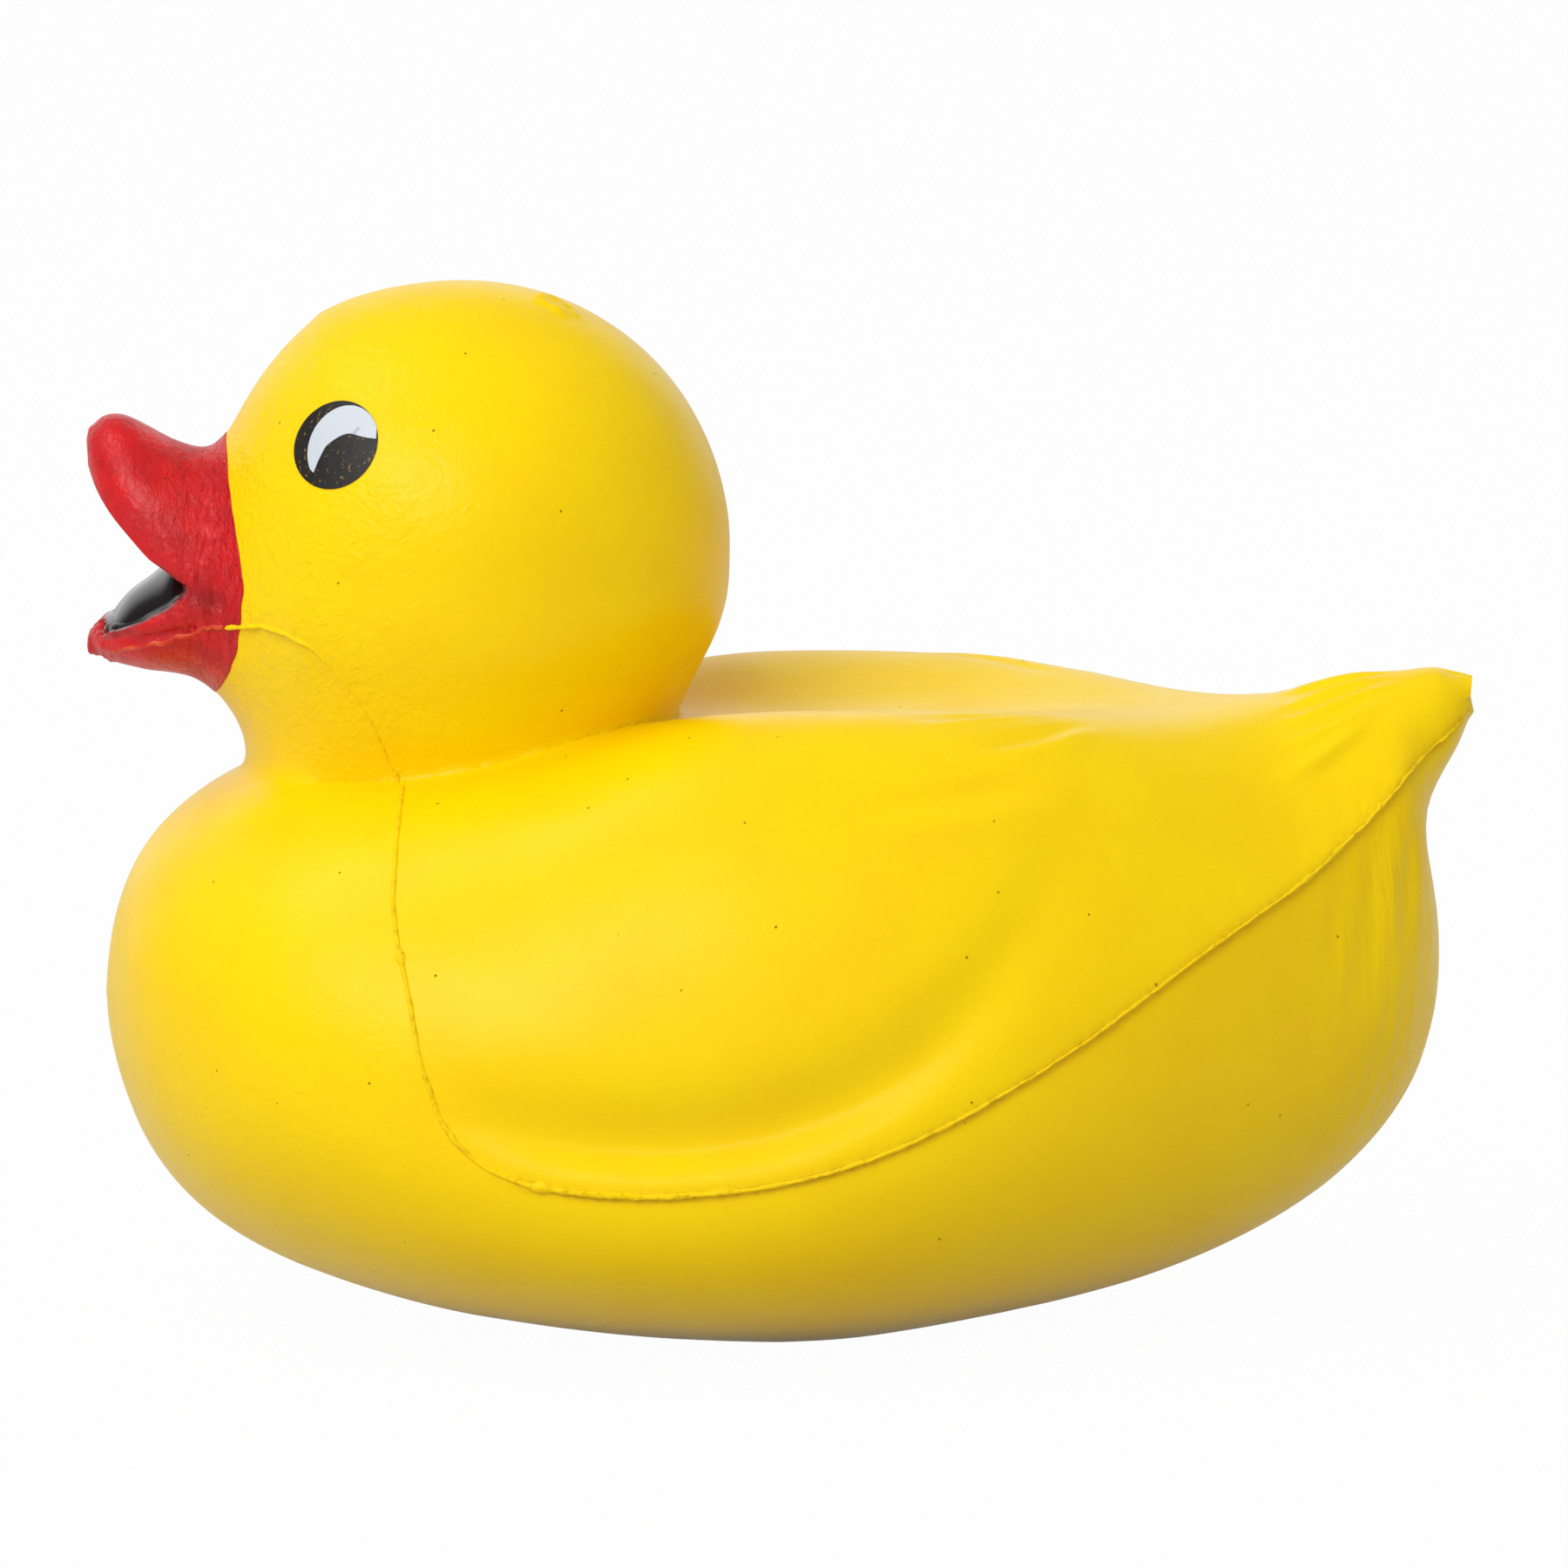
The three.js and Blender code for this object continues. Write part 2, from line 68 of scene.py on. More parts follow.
def add(tree, kind, inputs=None, **settings):
    """Adds a shader node, with its inputs as values or as the sockets that feed them."""
    made = tree.nodes.new(kind)
    for key, value in settings.items():
        setattr(made, key, value)
    for key, value in (inputs or {}).items():
        if isinstance(value, bpy.types.NodeSocket):
            tree.links.new(value, made.inputs[key])
        else:
            made.inputs[key].default_value = value
    return made


# Light
# A white studio: a wide lamp on the left in front, a second one nearer the camera, a third above the
# bill, and a low white card behind, which is all that the satin skin mirrors strongly.
world = bpy.data.worlds.new("studio")
bpy.context.scene.world = world
world.use_nodes = True
tree = world.node_tree
tree.nodes.clear()
ray = add(tree, "ShaderNodeLightPath")
seen = add(tree, "ShaderNodeMath", {
    0: ray.outputs["Is Camera Ray"], 1: ray.outputs["Is Transmission Ray"],
}, operation="MAXIMUM")
toward = add(tree, "ShaderNodeSeparateXYZ", {0: add(tree, "ShaderNodeTexCoord").outputs["Generated"]})
low = add(tree, "ShaderNodeMapRange", {
    "Value": toward.outputs["Z"], "From Min": 0.45, "From Max": 0.62, "To Min": 1, "To Max": 0,
})
behind = add(tree, "ShaderNodeMapRange", {"Value": toward.outputs["Y"], "From Min": 0.6, "From Max": 0.85})
card = add(tree, "ShaderNodeMath", {0: low.outputs[0], 1: behind.outputs[0]}, operation="MULTIPLY")
mirrored = add(tree, "ShaderNodeMapRange", {"Value": card.outputs[0], "To Min": 0.2, "To Max": 1.0})
strength = add(tree, "ShaderNodeMapRange", {"Value": seen.outputs[0], "To Min": 0.61, "To Max": 1.0})
strength = add(tree, "ShaderNodeMix", {
    0: ray.outputs["Is Glossy Ray"], 2: strength.outputs[0], 3: mirrored.outputs[0],
}, data_type="FLOAT")
seen = add(tree, "ShaderNodeMath", {
    0: seen.outputs[0], 1: ray.outputs["Is Glossy Ray"],
}, operation="MAXIMUM")
tone = add(tree, "ShaderNodeMix", {
    0: seen.outputs[0], 6: (1, 0.96, 0.86, 1), 7: (1, 1, 1, 1),
}, data_type="RGBA")
white = add(tree, "ShaderNodeBackground", {"Color": tone.outputs[2], "Strength": strength.outputs[0]})
add(tree, "ShaderNodeOutputWorld", {"Surface": white.outputs[0]})
LAMPS = (("key", -45, 35, 2.45), ("front", -20, 35, 3.25), ("top", -90, 60, 1.9))
LAMP_SIZE = 0.55
LAMP_DISTANCE = 1.1
for name, azimuth, height, watts in LAMPS:
    a, e = math.radians(azimuth), math.radians(height)
    away = Vector((math.sin(a) * math.cos(e), -math.cos(a) * math.cos(e), math.sin(e)))
    lamp = bpy.data.lights.new(name, "AREA")
    lamp.shape = "DISK"
    lamp.size = LAMP_SIZE
    lamp.energy = watts
    softbox = bpy.data.objects.new(name, lamp)
    softbox.location = aim + away * LAMP_DISTANCE
    softbox.rotation_euler = (-away).to_track_quat("-Z", "Y").to_euler()
    bpy.context.scene.collection.objects.link(softbox)

# Floor
# White paper, which shows nearly white to the camera and keeps the duck's soft shadow.
bpy.ops.mesh.primitive_plane_add(size=4)
floor = bpy.context.object
floor.name = "floor"
paper = bpy.data.materials.new("white paper")
paper.use_nodes = True
tree = paper.node_tree
tree.nodes.clear()
ray = add(tree, "ShaderNodeLightPath")
matt = add(tree, "ShaderNodeBsdfDiffuse", {"Color": (0.6, 0.6, 0.6, 1)})
glow = add(tree, "ShaderNodeEmission", {"Color": (1, 1, 1, 1), "Strength": 1})
mirrored = add(tree, "ShaderNodeMath", {0: ray.outputs["Is Glossy Ray"], 1: 0.35}, operation="MULTIPLY")
seen = add(tree, "ShaderNodeMath", {
    0: ray.outputs["Is Camera Ray"], 1: mirrored.outputs[0],
}, operation="MAXIMUM")
seen = add(tree, "ShaderNodeMath", {
    0: seen.outputs[0], 1: ray.outputs["Is Transmission Ray"],
}, operation="MAXIMUM")
share = add(tree, "ShaderNodeMath", {0: seen.outputs[0], 1: 0.975}, operation="MULTIPLY")
both = add(tree, "ShaderNodeMixShader", {0: share.outputs[0], 1: matt.outputs[0], 2: glow.outputs[0]})
add(tree, "ShaderNodeOutputMaterial", {"Surface": both.outputs[0]})
floor.data.materials.append(paper)

# Body
# Self-skinning polyurethane foam, cast in a two-part mould. It is lofted through the CAD's stations,
# far more finely, so that the skin is smooth, with a deeper wing groove and a step under the joint.
BODY_LENGTH = 88.6
BODY_WIDTH = 63
BODY_HEIGHT = 42.4
CHEST = -43.8
TIP_UP = 0.968  # height of the tip of the tail, as a share of the body height
TIP = (CHEST + BODY_LENGTH, 0, TIP_UP * BODY_HEIGHT)
BELLY_POWER = 2.15  # roundness of the section below the joint, where 2 is an ellipse
CROWN_DRAW = 1.15  # draws the points of the upper half down towards the joint
DISH_DEPTH = 4.2
DISH_HALF_WIDTH = 13
VALLEY_DEPTH = 1.1  # groove that sets the wing off from its lower edge
VALLEY_UNDER = 0.5  # its reach below its middle, as a share of its rise
VALLEY_OVER = (2, 0.22)  # and above it, in millimetres and as a share of its rise
STEP_FRONT = 0.3  # depth of the step under the wing's edge, in front
STEP_GAIN = 0.2  # and how much deeper it is behind
STEP_EDGE = 0.12  # distance below the joint over which it drops
STEP_FADE = 2.2  # and over which the belly comes out again
# Values at the body's 20 stations, from the chest to the tip of the tail. Places, widths and depths
# are shares of the sizes above, the swell and the groove's rise are millimetres, the rest are powers.
KEEL_ALONG = [0, 0.006, 0.025, 0.055, 0.1, 0.161, 0.24, 0.335, 0.438, 0.54,
              0.641, 0.748, 0.839, 0.907, 0.951, 0.971, 0.969, 0.963, 0.982, 0.997]
KEEL_UP = [0.502, 0.415, 0.302, 0.211, 0.138, 0.083, 0.038, 0.008, -0.011, -0.011,
           0.018, 0.067, 0.143, 0.241, 0.361, 0.506, 0.66, 0.778, 0.866, 0.936]
BACK_ALONG = [0, 0.004, 0.018, 0.047, 0.093, 0.15, 0.229, 0.325, 0.432, 0.534,
              0.63, 0.72, 0.793, 0.844, 0.878, 0.905, 0.93, 0.953, 0.974, 0.994]
BACK_UP = [0.502, 0.59, 0.684, 0.767, 0.834, 0.877, 0.905, 0.918, 0.924, 0.927,
           0.932, 0.938, 0.945, 0.953, 0.965, 0.979, 0.989, 0.996, 0.997, 0.981]
HALF_WIDTH = [0, 0.165, 0.365, 0.546, 0.708, 0.835, 0.935, 0.99, 1, 0.98,
              0.913, 0.79, 0.64, 0.5, 0.395, 0.32, 0.255, 0.19, 0.12, 0.045]
SEAM_SHARE = [0.5, 0.5, 0.49, 0.475, 0.46, 0.43, 0.375, 0.334, 0.339, 0.378,
              0.449, 0.55, 0.633, 0.668, 0.68, 0.66, 0.6, 0.47, 0.36, 0.3]
BELLY_SWELL = [0, 0, 0, 0, 0, 0, 0, 0, 0, 0, 0.1, 0.3, 0.6, 0.8, 0.8, 0.6, 0.3, 0.1, 0, 0]
DISH = [0, 0, 0, 0, 0, 0, 0, 0.3, 0.93, 1.08, 0.98, 0.78, 0.3, 0, 0, 0, 0, 0, 0, 0]
VALLEY = [0, 0, 0, 0, 0, 0, 0.05, 1.05, 1.35, 1.2, 0.6, 0.08, 0, 0, 0, 0, 0, 0, 0, 0]
VALLEY_RISE = [3.2, 3.2, 3.2, 3.2, 3.2, 3.2, 3.2, 3.2, 3.2, 4,
               6.8, 13, 15, 15, 15, 15, 15, 15, 15, 15]
SIDE_POWER = [2.1, 2.1, 2.1, 2.1, 2.1, 2.15, 2.2, 2.15, 2.05, 1.95,
              1.8, 1.6, 1.42, 1.32, 1.28, 1.28, 1.32, 1.45, 1.7, 2]
BACK_POWER = [2.1, 2.1, 2.1, 2.1, 2.1, 2.25, 2.5, 2.8, 3, 3,
              3, 2.7, 2.3, 2, 1.85, 1.8, 1.8, 1.9, 2, 2.1]


def spline(values):
    """A natural cubic spline through evenly numbered stations."""
    v = np.array(values, float)
    n = len(v)
    grid = np.eye(n)
    load = np.zeros(n)
    for i in range(1, n - 1):
        grid[i, i - 1 : i + 2] = 1, 4, 1
        load[i] = 6 * (v[i + 1] - 2 * v[i] + v[i - 1])
    bend = np.linalg.solve(grid, load)

    def read(t):
        t = np.asarray(t, float)
        i = np.clip(np.floor(t).astype(int), 0, n - 2)
        b = t - i
        a = 1 - b
        return a * v[i] + b * v[i + 1] + ((a**3 - a) * bend[i] + (b**3 - b) * bend[i + 1]) / 6

    return read


def smoothstep(t, a, b):
    """0 below a, 1 above b, and an eased rise between them."""
    s = np.clip((t - a) / (b - a), 0, 1)
    return s * s * (3 - 2 * s)


def walked_along(line):
    """The length walked along a polyline up to each of its points."""
    return np.r_[0, np.cumsum(np.linalg.norm(np.diff(line, axis=0), axis=1))]


def even(line, shares):
    """Points at the given shares of a polyline's length."""
    step = walked_along(line)
    step /= step[-1]
    return np.stack([np.interp(shares, step, line[:, i]) for i in range(line.shape[1])], 1)


def inward(line):
    """The unit normal at each point of a polyline, on its left."""
    run = np.gradient(line, axis=0)
    turned = np.stack([-run[:, 1], run[:, 0]], 1)
    return turned / np.maximum(1e-9, np.linalg.norm(turned, axis=1))[:, None]


lines = [spline(v) for v in (KEEL_ALONG, KEEL_UP, BACK_ALONG, BACK_UP, HALF_WIDTH, SEAM_SHARE,
                             BELLY_SWELL, DISH, VALLEY, VALLEY_RISE, SIDE_POWER, BACK_POWER)]
LOWER, UPPER = 74, 112  # points below and above the joint, closest together beside it
LOW_STEPS, HIGH_STEPS = 400, 600
lower_shares = 1 - (1 - np.linspace(0, 1, LOWER + 1)) ** 1.35
upper_shares = np.linspace(0, 1, UPPER + 1) ** 1.08


def section(t):
    """The ring of the skin at station t, in millimetres, from the keel up one side and down the other."""
    (keel_x, keel_z, back_x, back_z, half, seam,
     swell, dish, valley, rise, side_power, back_power) = (float(f(t)) for f in lines)
    keel = np.array([CHEST + keel_x * BODY_LENGTH, keel_z * BODY_HEIGHT])
    back = np.array([CHEST + back_x * BODY_LENGTH, back_z * BODY_HEIGHT])
    height = np.linalg.norm(back - keel)
    up = (back - keel) / height
    half *= BODY_WIDTH / 2
    seam *= height
    dish = max(0, dish) * DISH_DEPTH
    valley = max(0, valley) * VALLEY_DEPTH
    turn = np.linspace(0, math.pi / 2, LOW_STEPS)
    out = half * np.sin(turn) ** (2 / BELLY_POWER) + max(0, swell) * np.sin(2 * turn) ** 2
    low = np.stack([out, seam * (1 - np.cos(turn) ** (2 / BELLY_POWER))], 1)
    low[-1] = half, seam
    turn = (math.pi / 2) * np.linspace(0, 1, HIGH_STEPS) ** CROWN_DRAW
    power = side_power + (back_power - side_power) * np.sin(turn) ** 2
    out = half * np.cos(turn) ** (2 / power)
    out[-1] = 0
    lift = (height + dish - seam) * np.sin(turn) ** (2 / power)
    high = np.stack([out, seam + lift - dish * np.exp(-((out / DISH_HALF_WIDTH) ** 2))], 1)
    shares = np.linspace(0, 1, HIGH_STEPS)
    high = even(high, shares)
    walked = shares * np.linalg.norm(np.diff(high, axis=0), axis=1).sum()
    spread = np.where(walked < rise, VALLEY_UNDER * rise, VALLEY_OVER[0] + VALLEY_OVER[1] * rise)
    depth = valley * np.exp(-(((walked - rise) / spread) ** 2))
    high = high + inward(high) * depth[:, None]
    high[0] = half, seam
    high[-1, 0] = 0
    down = walked_along(low[::-1])[::-1]
    drop = (STEP_FRONT + STEP_GAIN * smoothstep(t, 9, 13)) * smoothstep(t, 6.4, 7.6)
    step = drop * np.minimum(1, down / STEP_EDGE) * np.exp(-down / STEP_FADE)
    low = low + inward(low) * step[:, None]
    low, high = even(low, lower_shares), even(high, upper_shares)
    side = np.r_[low, high[1:]]
    whole = np.r_[side, side[-2:0:-1] * [-1, 1]]
    place = keel + whole[:, 1:] * up
    return np.stack([place[:, 0], whole[:, 0], place[:, 1]], 1)


def new_object(name, points, faces):
    """A mesh object from points in metres and the faces between them."""
    mesh = bpy.data.meshes.new(name)
    mesh.from_pydata(points, [], faces)
    made = bpy.data.objects.new(name, mesh)
    bpy.context.scene.collection.objects.link(made)
    return made


def pick_only(*objects):
    """Selects these objects and nothing else, with the first one active."""
    bpy.ops.object.select_all(action="DESELECT")
    for obj in objects:
        obj.select_set(True)
    bpy.context.view_layer.objects.active = objects[0]


def face_outwards(obj):
    """Turns all the faces of a closed mesh outwards."""
    pick_only(obj)
    bpy.ops.object.mode_set(mode="EDIT")
    bpy.ops.mesh.select_all(action="SELECT")
    bpy.ops.mesh.normals_make_consistent(inside=False)
    bpy.ops.object.mode_set(mode="OBJECT")


def grid_mesh(name, rings, start, end):
    """A closed mesh from rings of points in millimetres, with a point at either end."""
    rings = np.array(rings)
    count, around = rings.shape[:2]
    points = np.r_[[start], rings.reshape(-1, 3), [end]]
    faces = []
    for k in range(around):
        j = (k + 1) % around
        faces.append((0, 1 + j, 1 + k))
        for r in range(count - 1):
            a, b = 1 + r * around, 1 + (r + 1) * around
            faces.append((a + k, a + j, b + j, b + k))
        faces.append((len(points) - 1, 1 + (count - 1) * around + k, 1 + (count - 1) * around + j))
    made = new_object(name, (points * MM).tolist(), faces)
    face_outwards(made)
    return made


# stations spaced evenly along the parting line
RINGS = 190
fine = np.linspace(0.06, 18.97, 2000)[::10]
walk = walked_along(np.array([section(t)[LOWER] for t in fine]))
stations = np.interp(np.linspace(0, walk[-1], RINGS), walk, fine)
rings = [section(t) for t in stations]
body = grid_mesh("body", rings, (CHEST, 0, KEEL_UP[0] * BODY_HEIGHT), TIP)

# Head and bill
# Part of the same casting: a turned egg on a short neck, with the bill's upper half, its lower half
# and the tongue lofted and joined to it.
HEAD_RADIUS = 17
HEAD_LIFT = 8
HEAD_ALONG = 0.263
HEAD = np.array([CHEST + HEAD_ALONG * BODY_LENGTH, 0, BODY_HEIGHT + HEAD_LIFT])
NECK_FOOT = -1.1
NECK_LEAN = 0.065
BROW_HEIGHT = 0.04
BROW_ANGLE = 55
BROW_SPREAD = 19
# the outline of the neck as out and up, in head radii, like the bill's tables below
NECK = np.array([[0.755, NECK_FOOT], [0.755, -0.93], [0.77, -0.82], [0.802, -0.73], [0.846, -0.63],
                 [0.888, -0.53], [0.936, -0.42], [0.978, -0.315], [1.001, -0.2], [1.004, -0.1]])


def on_axis(forward, up):
    """A point in the duck's middle plane, at these distances from the head's middle, in head radii."""
    return HEAD + [-forward * HEAD_RADIUS, 0, up * HEAD_RADIUS]


turn = np.linspace(0, math.pi / 2, 17)
profile = np.r_[NECK, np.stack([np.cos(turn), np.sin(turn)], 1)]
profile[-1, 0] = 0
radius, height = spline(profile[:, 0]), spline(profile[:, 1])
t = np.linspace(0, len(profile) - 1, 800)
profile = even(np.stack([radius(t), height(t)], 1), np.linspace(0, 1, 100)) * HEAD_RADIUS
sides = np.linspace(0, 2 * math.pi, 180, endpoint=False)
rings = []
for r, h in profile[:-1]:
    ring = np.stack([r * np.cos(sides), r * np.sin(sides), np.full(len(sides), h)], 1)
    angle = np.degrees(np.arctan2(ring[:, 2], -ring[:, 0])) - BROW_ANGLE
    brow = BROW_HEIGHT * (1 - (ring[:, 1] / HEAD_RADIUS) ** 2) * np.exp(-((angle / BROW_SPREAD) ** 2))
    ring *= 1 + brow[:, None]
    ring[:, 0] += NECK_LEAN * np.minimum(0, ring[:, 2])
    rings.append(ring + HEAD)
head = grid_mesh("head", rings, on_axis(-NECK_LEAN * NECK_FOOT, NECK_FOOT), on_axis(0, 1))

# the upper half, as forward, ridge, lip, half width and roof
VISOR = [[0.618, 0.32, -0.36, 0.52, -0.4], [0.8, 0.345, -0.34, 0.505, -0.38],
         [0.94, 0.364, -0.27, 0.486, -0.3], [1.059, 0.382, -0.125, 0.45, -0.05],
         [1.165, 0.424, -0.029, 0.406, 0.106], [1.259, 0.474, 0.065, 0.359, 0.229],
         [1.335, 0.494, 0.15, 0.294, 0.324], [1.394, 0.474, 0.236, 0.212, 0.371],
         [1.429, 0.441, 0.318, 0.118, 0.385]]
# the lower half, as forward, rim, keel and half width
JAW = [[0.618, -0.16, -0.7, 0.52], [0.8, -0.11, -0.66, 0.505], [0.924, -0.09, -0.59, 0.488],
       [1.006, -0.1, -0.515, 0.462], [1.06, -0.13, -0.497, 0.448], [1.112, -0.18, -0.483, 0.43],
       [1.19, -0.232, -0.472, 0.396], [1.241, -0.26, -0.462, 0.362], [1.31, -0.29, -0.447, 0.295],
       [1.37, -0.322, -0.43, 0.205], [1.41, -0.352, -0.418, 0.11], [1.43, -0.375, -0.41, 0.05]]
# the tongue, as forward, top and half width
TONGUE = [[0.8, 0.03, 0.44], [1.059, -0.02, 0.43], [1.153, -0.09, 0.39], [1.241, -0.16, 0.335],
          [1.294, -0.205, 0.285], [1.335, -0.26, 0.22], [1.362, -0.315, 0.14]]
LIP_THICKNESS = 0.075
BILL_ARCH = 0.9  # below 1 the bill's cross section is fuller than an ellipse
JAW_ARCH = 0.8
TONGUE_SIDE = -0.33
TONGUE_UNDER = -0.345  # its flat underside, just below the foot of its sides


def rows(table, steps):
    """A table's columns as smooth curves, read at even steps, in millimetres."""
    read = [spline(c) for c in np.array(table).T]
    t = np.linspace(0, len(table) - 1, steps)
    return np.stack([f(t) for f in read], 1) * HEAD_RADIUS


def on_head(forward, out, up):
    """Points at these distances from the middle of the head."""
    forward, out, up = np.broadcast_arrays(forward, out, up)
    return np.stack([HEAD[0] - forward, out, HEAD[2] + up], 1)


rings = []
for forward, ridge, lip, half, roof in rows(VISOR, 64):
    outer = math.pi * (np.linspace(0, 1, 61) - 0.5)
    inner = math.pi * (np.linspace(1, 0, 45) - 0.5)
    narrow = max(half * 0.6, half - LIP_THICKNESS * HEAD_RADIUS)
    cos = np.clip(np.cos(outer), 0, 1)
    rings.append(np.r_[
        on_head(forward, half * np.sin(outer), lip + (ridge - lip) * cos**BILL_ARCH),
        on_head(forward, narrow * np.sin(inner), lip + (roof - lip) * np.clip(np.cos(inner), 0, 1)),
    ])
upper_bill = grid_mesh("upper bill", rings, on_axis(0.618, 0), on_axis(1.441, 0.4))
rings = []
for forward, rim, keel, half in rows(JAW, 60):
    outer = math.pi * (0.5 - np.linspace(0, 1, 61))
    inner = math.pi * (np.linspace(0, 1, 31)[1:-1] - 0.5)
    drop = (keel - rim) * np.clip(np.cos(outer), 0, 1) ** JAW_ARCH
    rings.append(np.r_[
        on_head(forward, half * np.sin(outer), rim + drop),
        on_head(forward, 0.9 * half * np.sin(inner), rim + 0.04 * HEAD_RADIUS * np.cos(inner)),
    ])
jaw = grid_mesh("jaw", rings, on_axis(0.618, -0.45), on_axis(1.438, -0.39))
rings = []
for forward, top, half in rows(TONGUE, 44):
    outer = math.pi * (np.linspace(0, 1, 51) - 0.5)
    rise = (top - TONGUE_SIDE * HEAD_RADIUS) * np.clip(np.cos(outer), 0, 1) ** JAW_ARCH
    rings.append(np.r_[
        on_head(forward, half * np.sin(outer), TONGUE_SIDE * HEAD_RADIUS + rise),
        on_head(forward, half * np.linspace(0.6, -0.6, 7), TONGUE_UNDER * HEAD_RADIUS),
    ])
tongue = grid_mesh("tongue", rings, on_axis(0.8, -0.2), on_axis(1.372, TONGUE_UNDER))

# everything is joined into the one casting
bpy.context.view_layer.objects.active = head
for piece in (upper_bill, jaw, tongue, body):
    join = head.modifiers.new("join", "BOOLEAN")
    join.operation = "UNION"
    join.solver = "EXACT"
    join.object = piece
    bpy.ops.object.modifier_apply(modifier=join.name)
for piece in (upper_bill, jaw, body):
    bpy.data.objects.remove(piece)
moulding = head
moulding.name = "moulding"


def places(obj):
    """The places of an object's vertices, in millimetres."""
    co = np.zeros(len(obj.data.vertices) * 3)
    obj.data.vertices.foreach_get("co", co)
    return co.reshape(-1, 3) / MM


def normals(obj):
    """The normals at an object's vertices."""
    out = np.zeros(len(obj.data.vertices) * 3)
    obj.data.vertices.foreach_get("normal", out)
    return out.reshape(-1, 3)


def soften(obj, weights, width, spacing=0.5):
    """Smooths a mesh where weights say so, over about width millimetres."""
    group = obj.vertex_groups.new(name="soft")
    for i in np.nonzero(weights > 0.01)[0]:
        group.add([int(i)], float(weights[i]), "REPLACE")
    ease = obj.modifiers.new("ease", "SMOOTH")
    ease.factor = 0.5
    ease.iterations = max(1, round((width / spacing) ** 2 * 4))
    ease.vertex_group = "soft"
    bpy.ops.object.modifier_apply(modifier=ease.name)
    obj.vertex_groups.remove(obj.vertex_groups["soft"])


# Relief of the mould
# The sole is cut flat, the joins are eased, and the fine folds of the wings, the tail's
# ribs, the pouring scar and the torn edges are drawn into the casting.
pick_only(moulding)
bpy.ops.object.mode_set(mode="EDIT")
bpy.ops.mesh.select_all(action="SELECT")
bpy.ops.mesh.bisect(plane_co=(0, 0, 0), plane_no=(0, 0, 1), use_fill=True, clear_inner=True)
bpy.ops.mesh.mark_sharp()
bpy.ops.object.mode_set(mode="OBJECT")

# how far the neck, the bill's root and the mouth are eased, in millimetres
NECK_EASE, ROOT_EASE, MOUTH_EASE = 1.2, 2.2, 0.75
BILL_SPACING = 0.35
co = places(moulding)
x, y, z = co.T
ring = np.hypot(x - (HEAD[0] - 1), y)
behind = np.clip((x - (HEAD[0] - 6)) / 6, 0, 1)
near_neck = np.exp(-(((z - 36.5) / 6) ** 2)) * np.clip(1 - np.abs(ring - 13) / 6, 0, 1)
soften(moulding, np.clip(near_neck * behind * 1.5, 0, 1), NECK_EASE)
co = places(moulding)
x, y, z = co.T
from_head = np.abs(np.linalg.norm(co - HEAD, axis=1) - HEAD_RADIUS)
visor, lower = np.array(VISOR) * HEAD_RADIUS, np.array(JAW) * HEAD_RADIUS
lip = np.interp(HEAD[0] - x, visor[:, 0], HEAD[2] + visor[:, 2])
rim = np.interp(HEAD[0] - x, lower[:, 0], HEAD[2] + lower[:, 1])
outer = np.clip((np.abs(y) - 6.4) / 0.8, 0, 1)
above = np.clip((z - lip - 0.7) / 1.4, 0, 1)
below = np.clip((rim - 1.6 - z) / 1.2, 0, 1)
corner = np.clip((x + 37.6) / 1.2, 0, 1) * outer
near_bill = np.clip(1.5 - from_head / 3.0, 0, 1) * (x < -30) * (np.abs(y) < 13)
soften(moulding, near_bill * np.clip(above + below + corner, 0, 1), ROOT_EASE, BILL_SPACING)
co = places(moulding)
x, y, z = co.T
far = np.linalg.norm((co - [-37.6, 0, 47.6]) * [1, 0, 1], axis=1)
soften(moulding, np.clip(1.3 - far / 3.2, 0, 1) * (np.abs(y) < 10), MOUTH_EASE, BILL_SPACING)


def to_line(points, line):
    """Distance from points to a polyline, and the share of its length at the nearest spot."""
    line = np.array(line, float)
    best = np.full(len(points), 1e9)
    share = np.zeros(len(points))
    walk = walked_along(line)
    for i in range(len(line) - 1):
        run = line[i + 1] - line[i]
        t = np.clip((points - line[i]) @ run / (run @ run), 0, 1)
        far = np.linalg.norm(points - line[i] - t[:, None] * run, axis=1)
        nearer = far < best
        best[nearer] = far[nearer]
        share[nearer] = ((walk[i] + t * np.linalg.norm(run)) / walk[-1])[nearer]
    return best, share


def grain(points, scale, seed=0):
    """Smooth noise at each point, about -1 to 1, with features 1 / scale millimetres wide."""
    shift = Vector((seed * 17.3, seed * 5.1, seed * 9.7))
    return np.array([noise.noise(Vector(p) * scale + shift) for p in points])


# the plan of the ribs and folds, as along and out in shares of the body length and half width
TAIL_RIBS = [
    [(0.858, 0), (0.935, 0)],
    [(0.862, 0.1), (0.93, 0.035)],
    [(0.862, 0.175), (0.932, 0.085)],
    [(0.864, 0.245), (0.929, 0.135)],
    [(0.862, 0.32), (0.918, 0.18)],
]
WING_FOLDS = [
    [(0.56, 0.73), (0.62, 0.69), (0.68, 0.625)],
    [(0.635, 0.58), (0.68, 0.49), (0.712, 0.38)],
    [(0.595, 0.48), (0.645, 0.4), (0.69, 0.29)],
]
co = places(moulding)
normal = normals(moulding)
plan = np.stack([co[:, 0], np.abs(co[:, 1])], 1)
lift = np.zeros(len(co))
back = (co[:, 2] > 34) & (normal[:, 2] > 0.2) & (co[:, 0] > 0)
for line in TAIL_RIBS:
    far, share = to_line(plan[back], [(CHEST + a * BODY_LENGTH, o * BODY_WIDTH / 2) for a, o in line])
    lift[back] += 0.42 * np.exp(-((far / 0.55) ** 2)) * np.sin(math.pi * np.clip(share, 0.04, 0.96)) ** 0.6
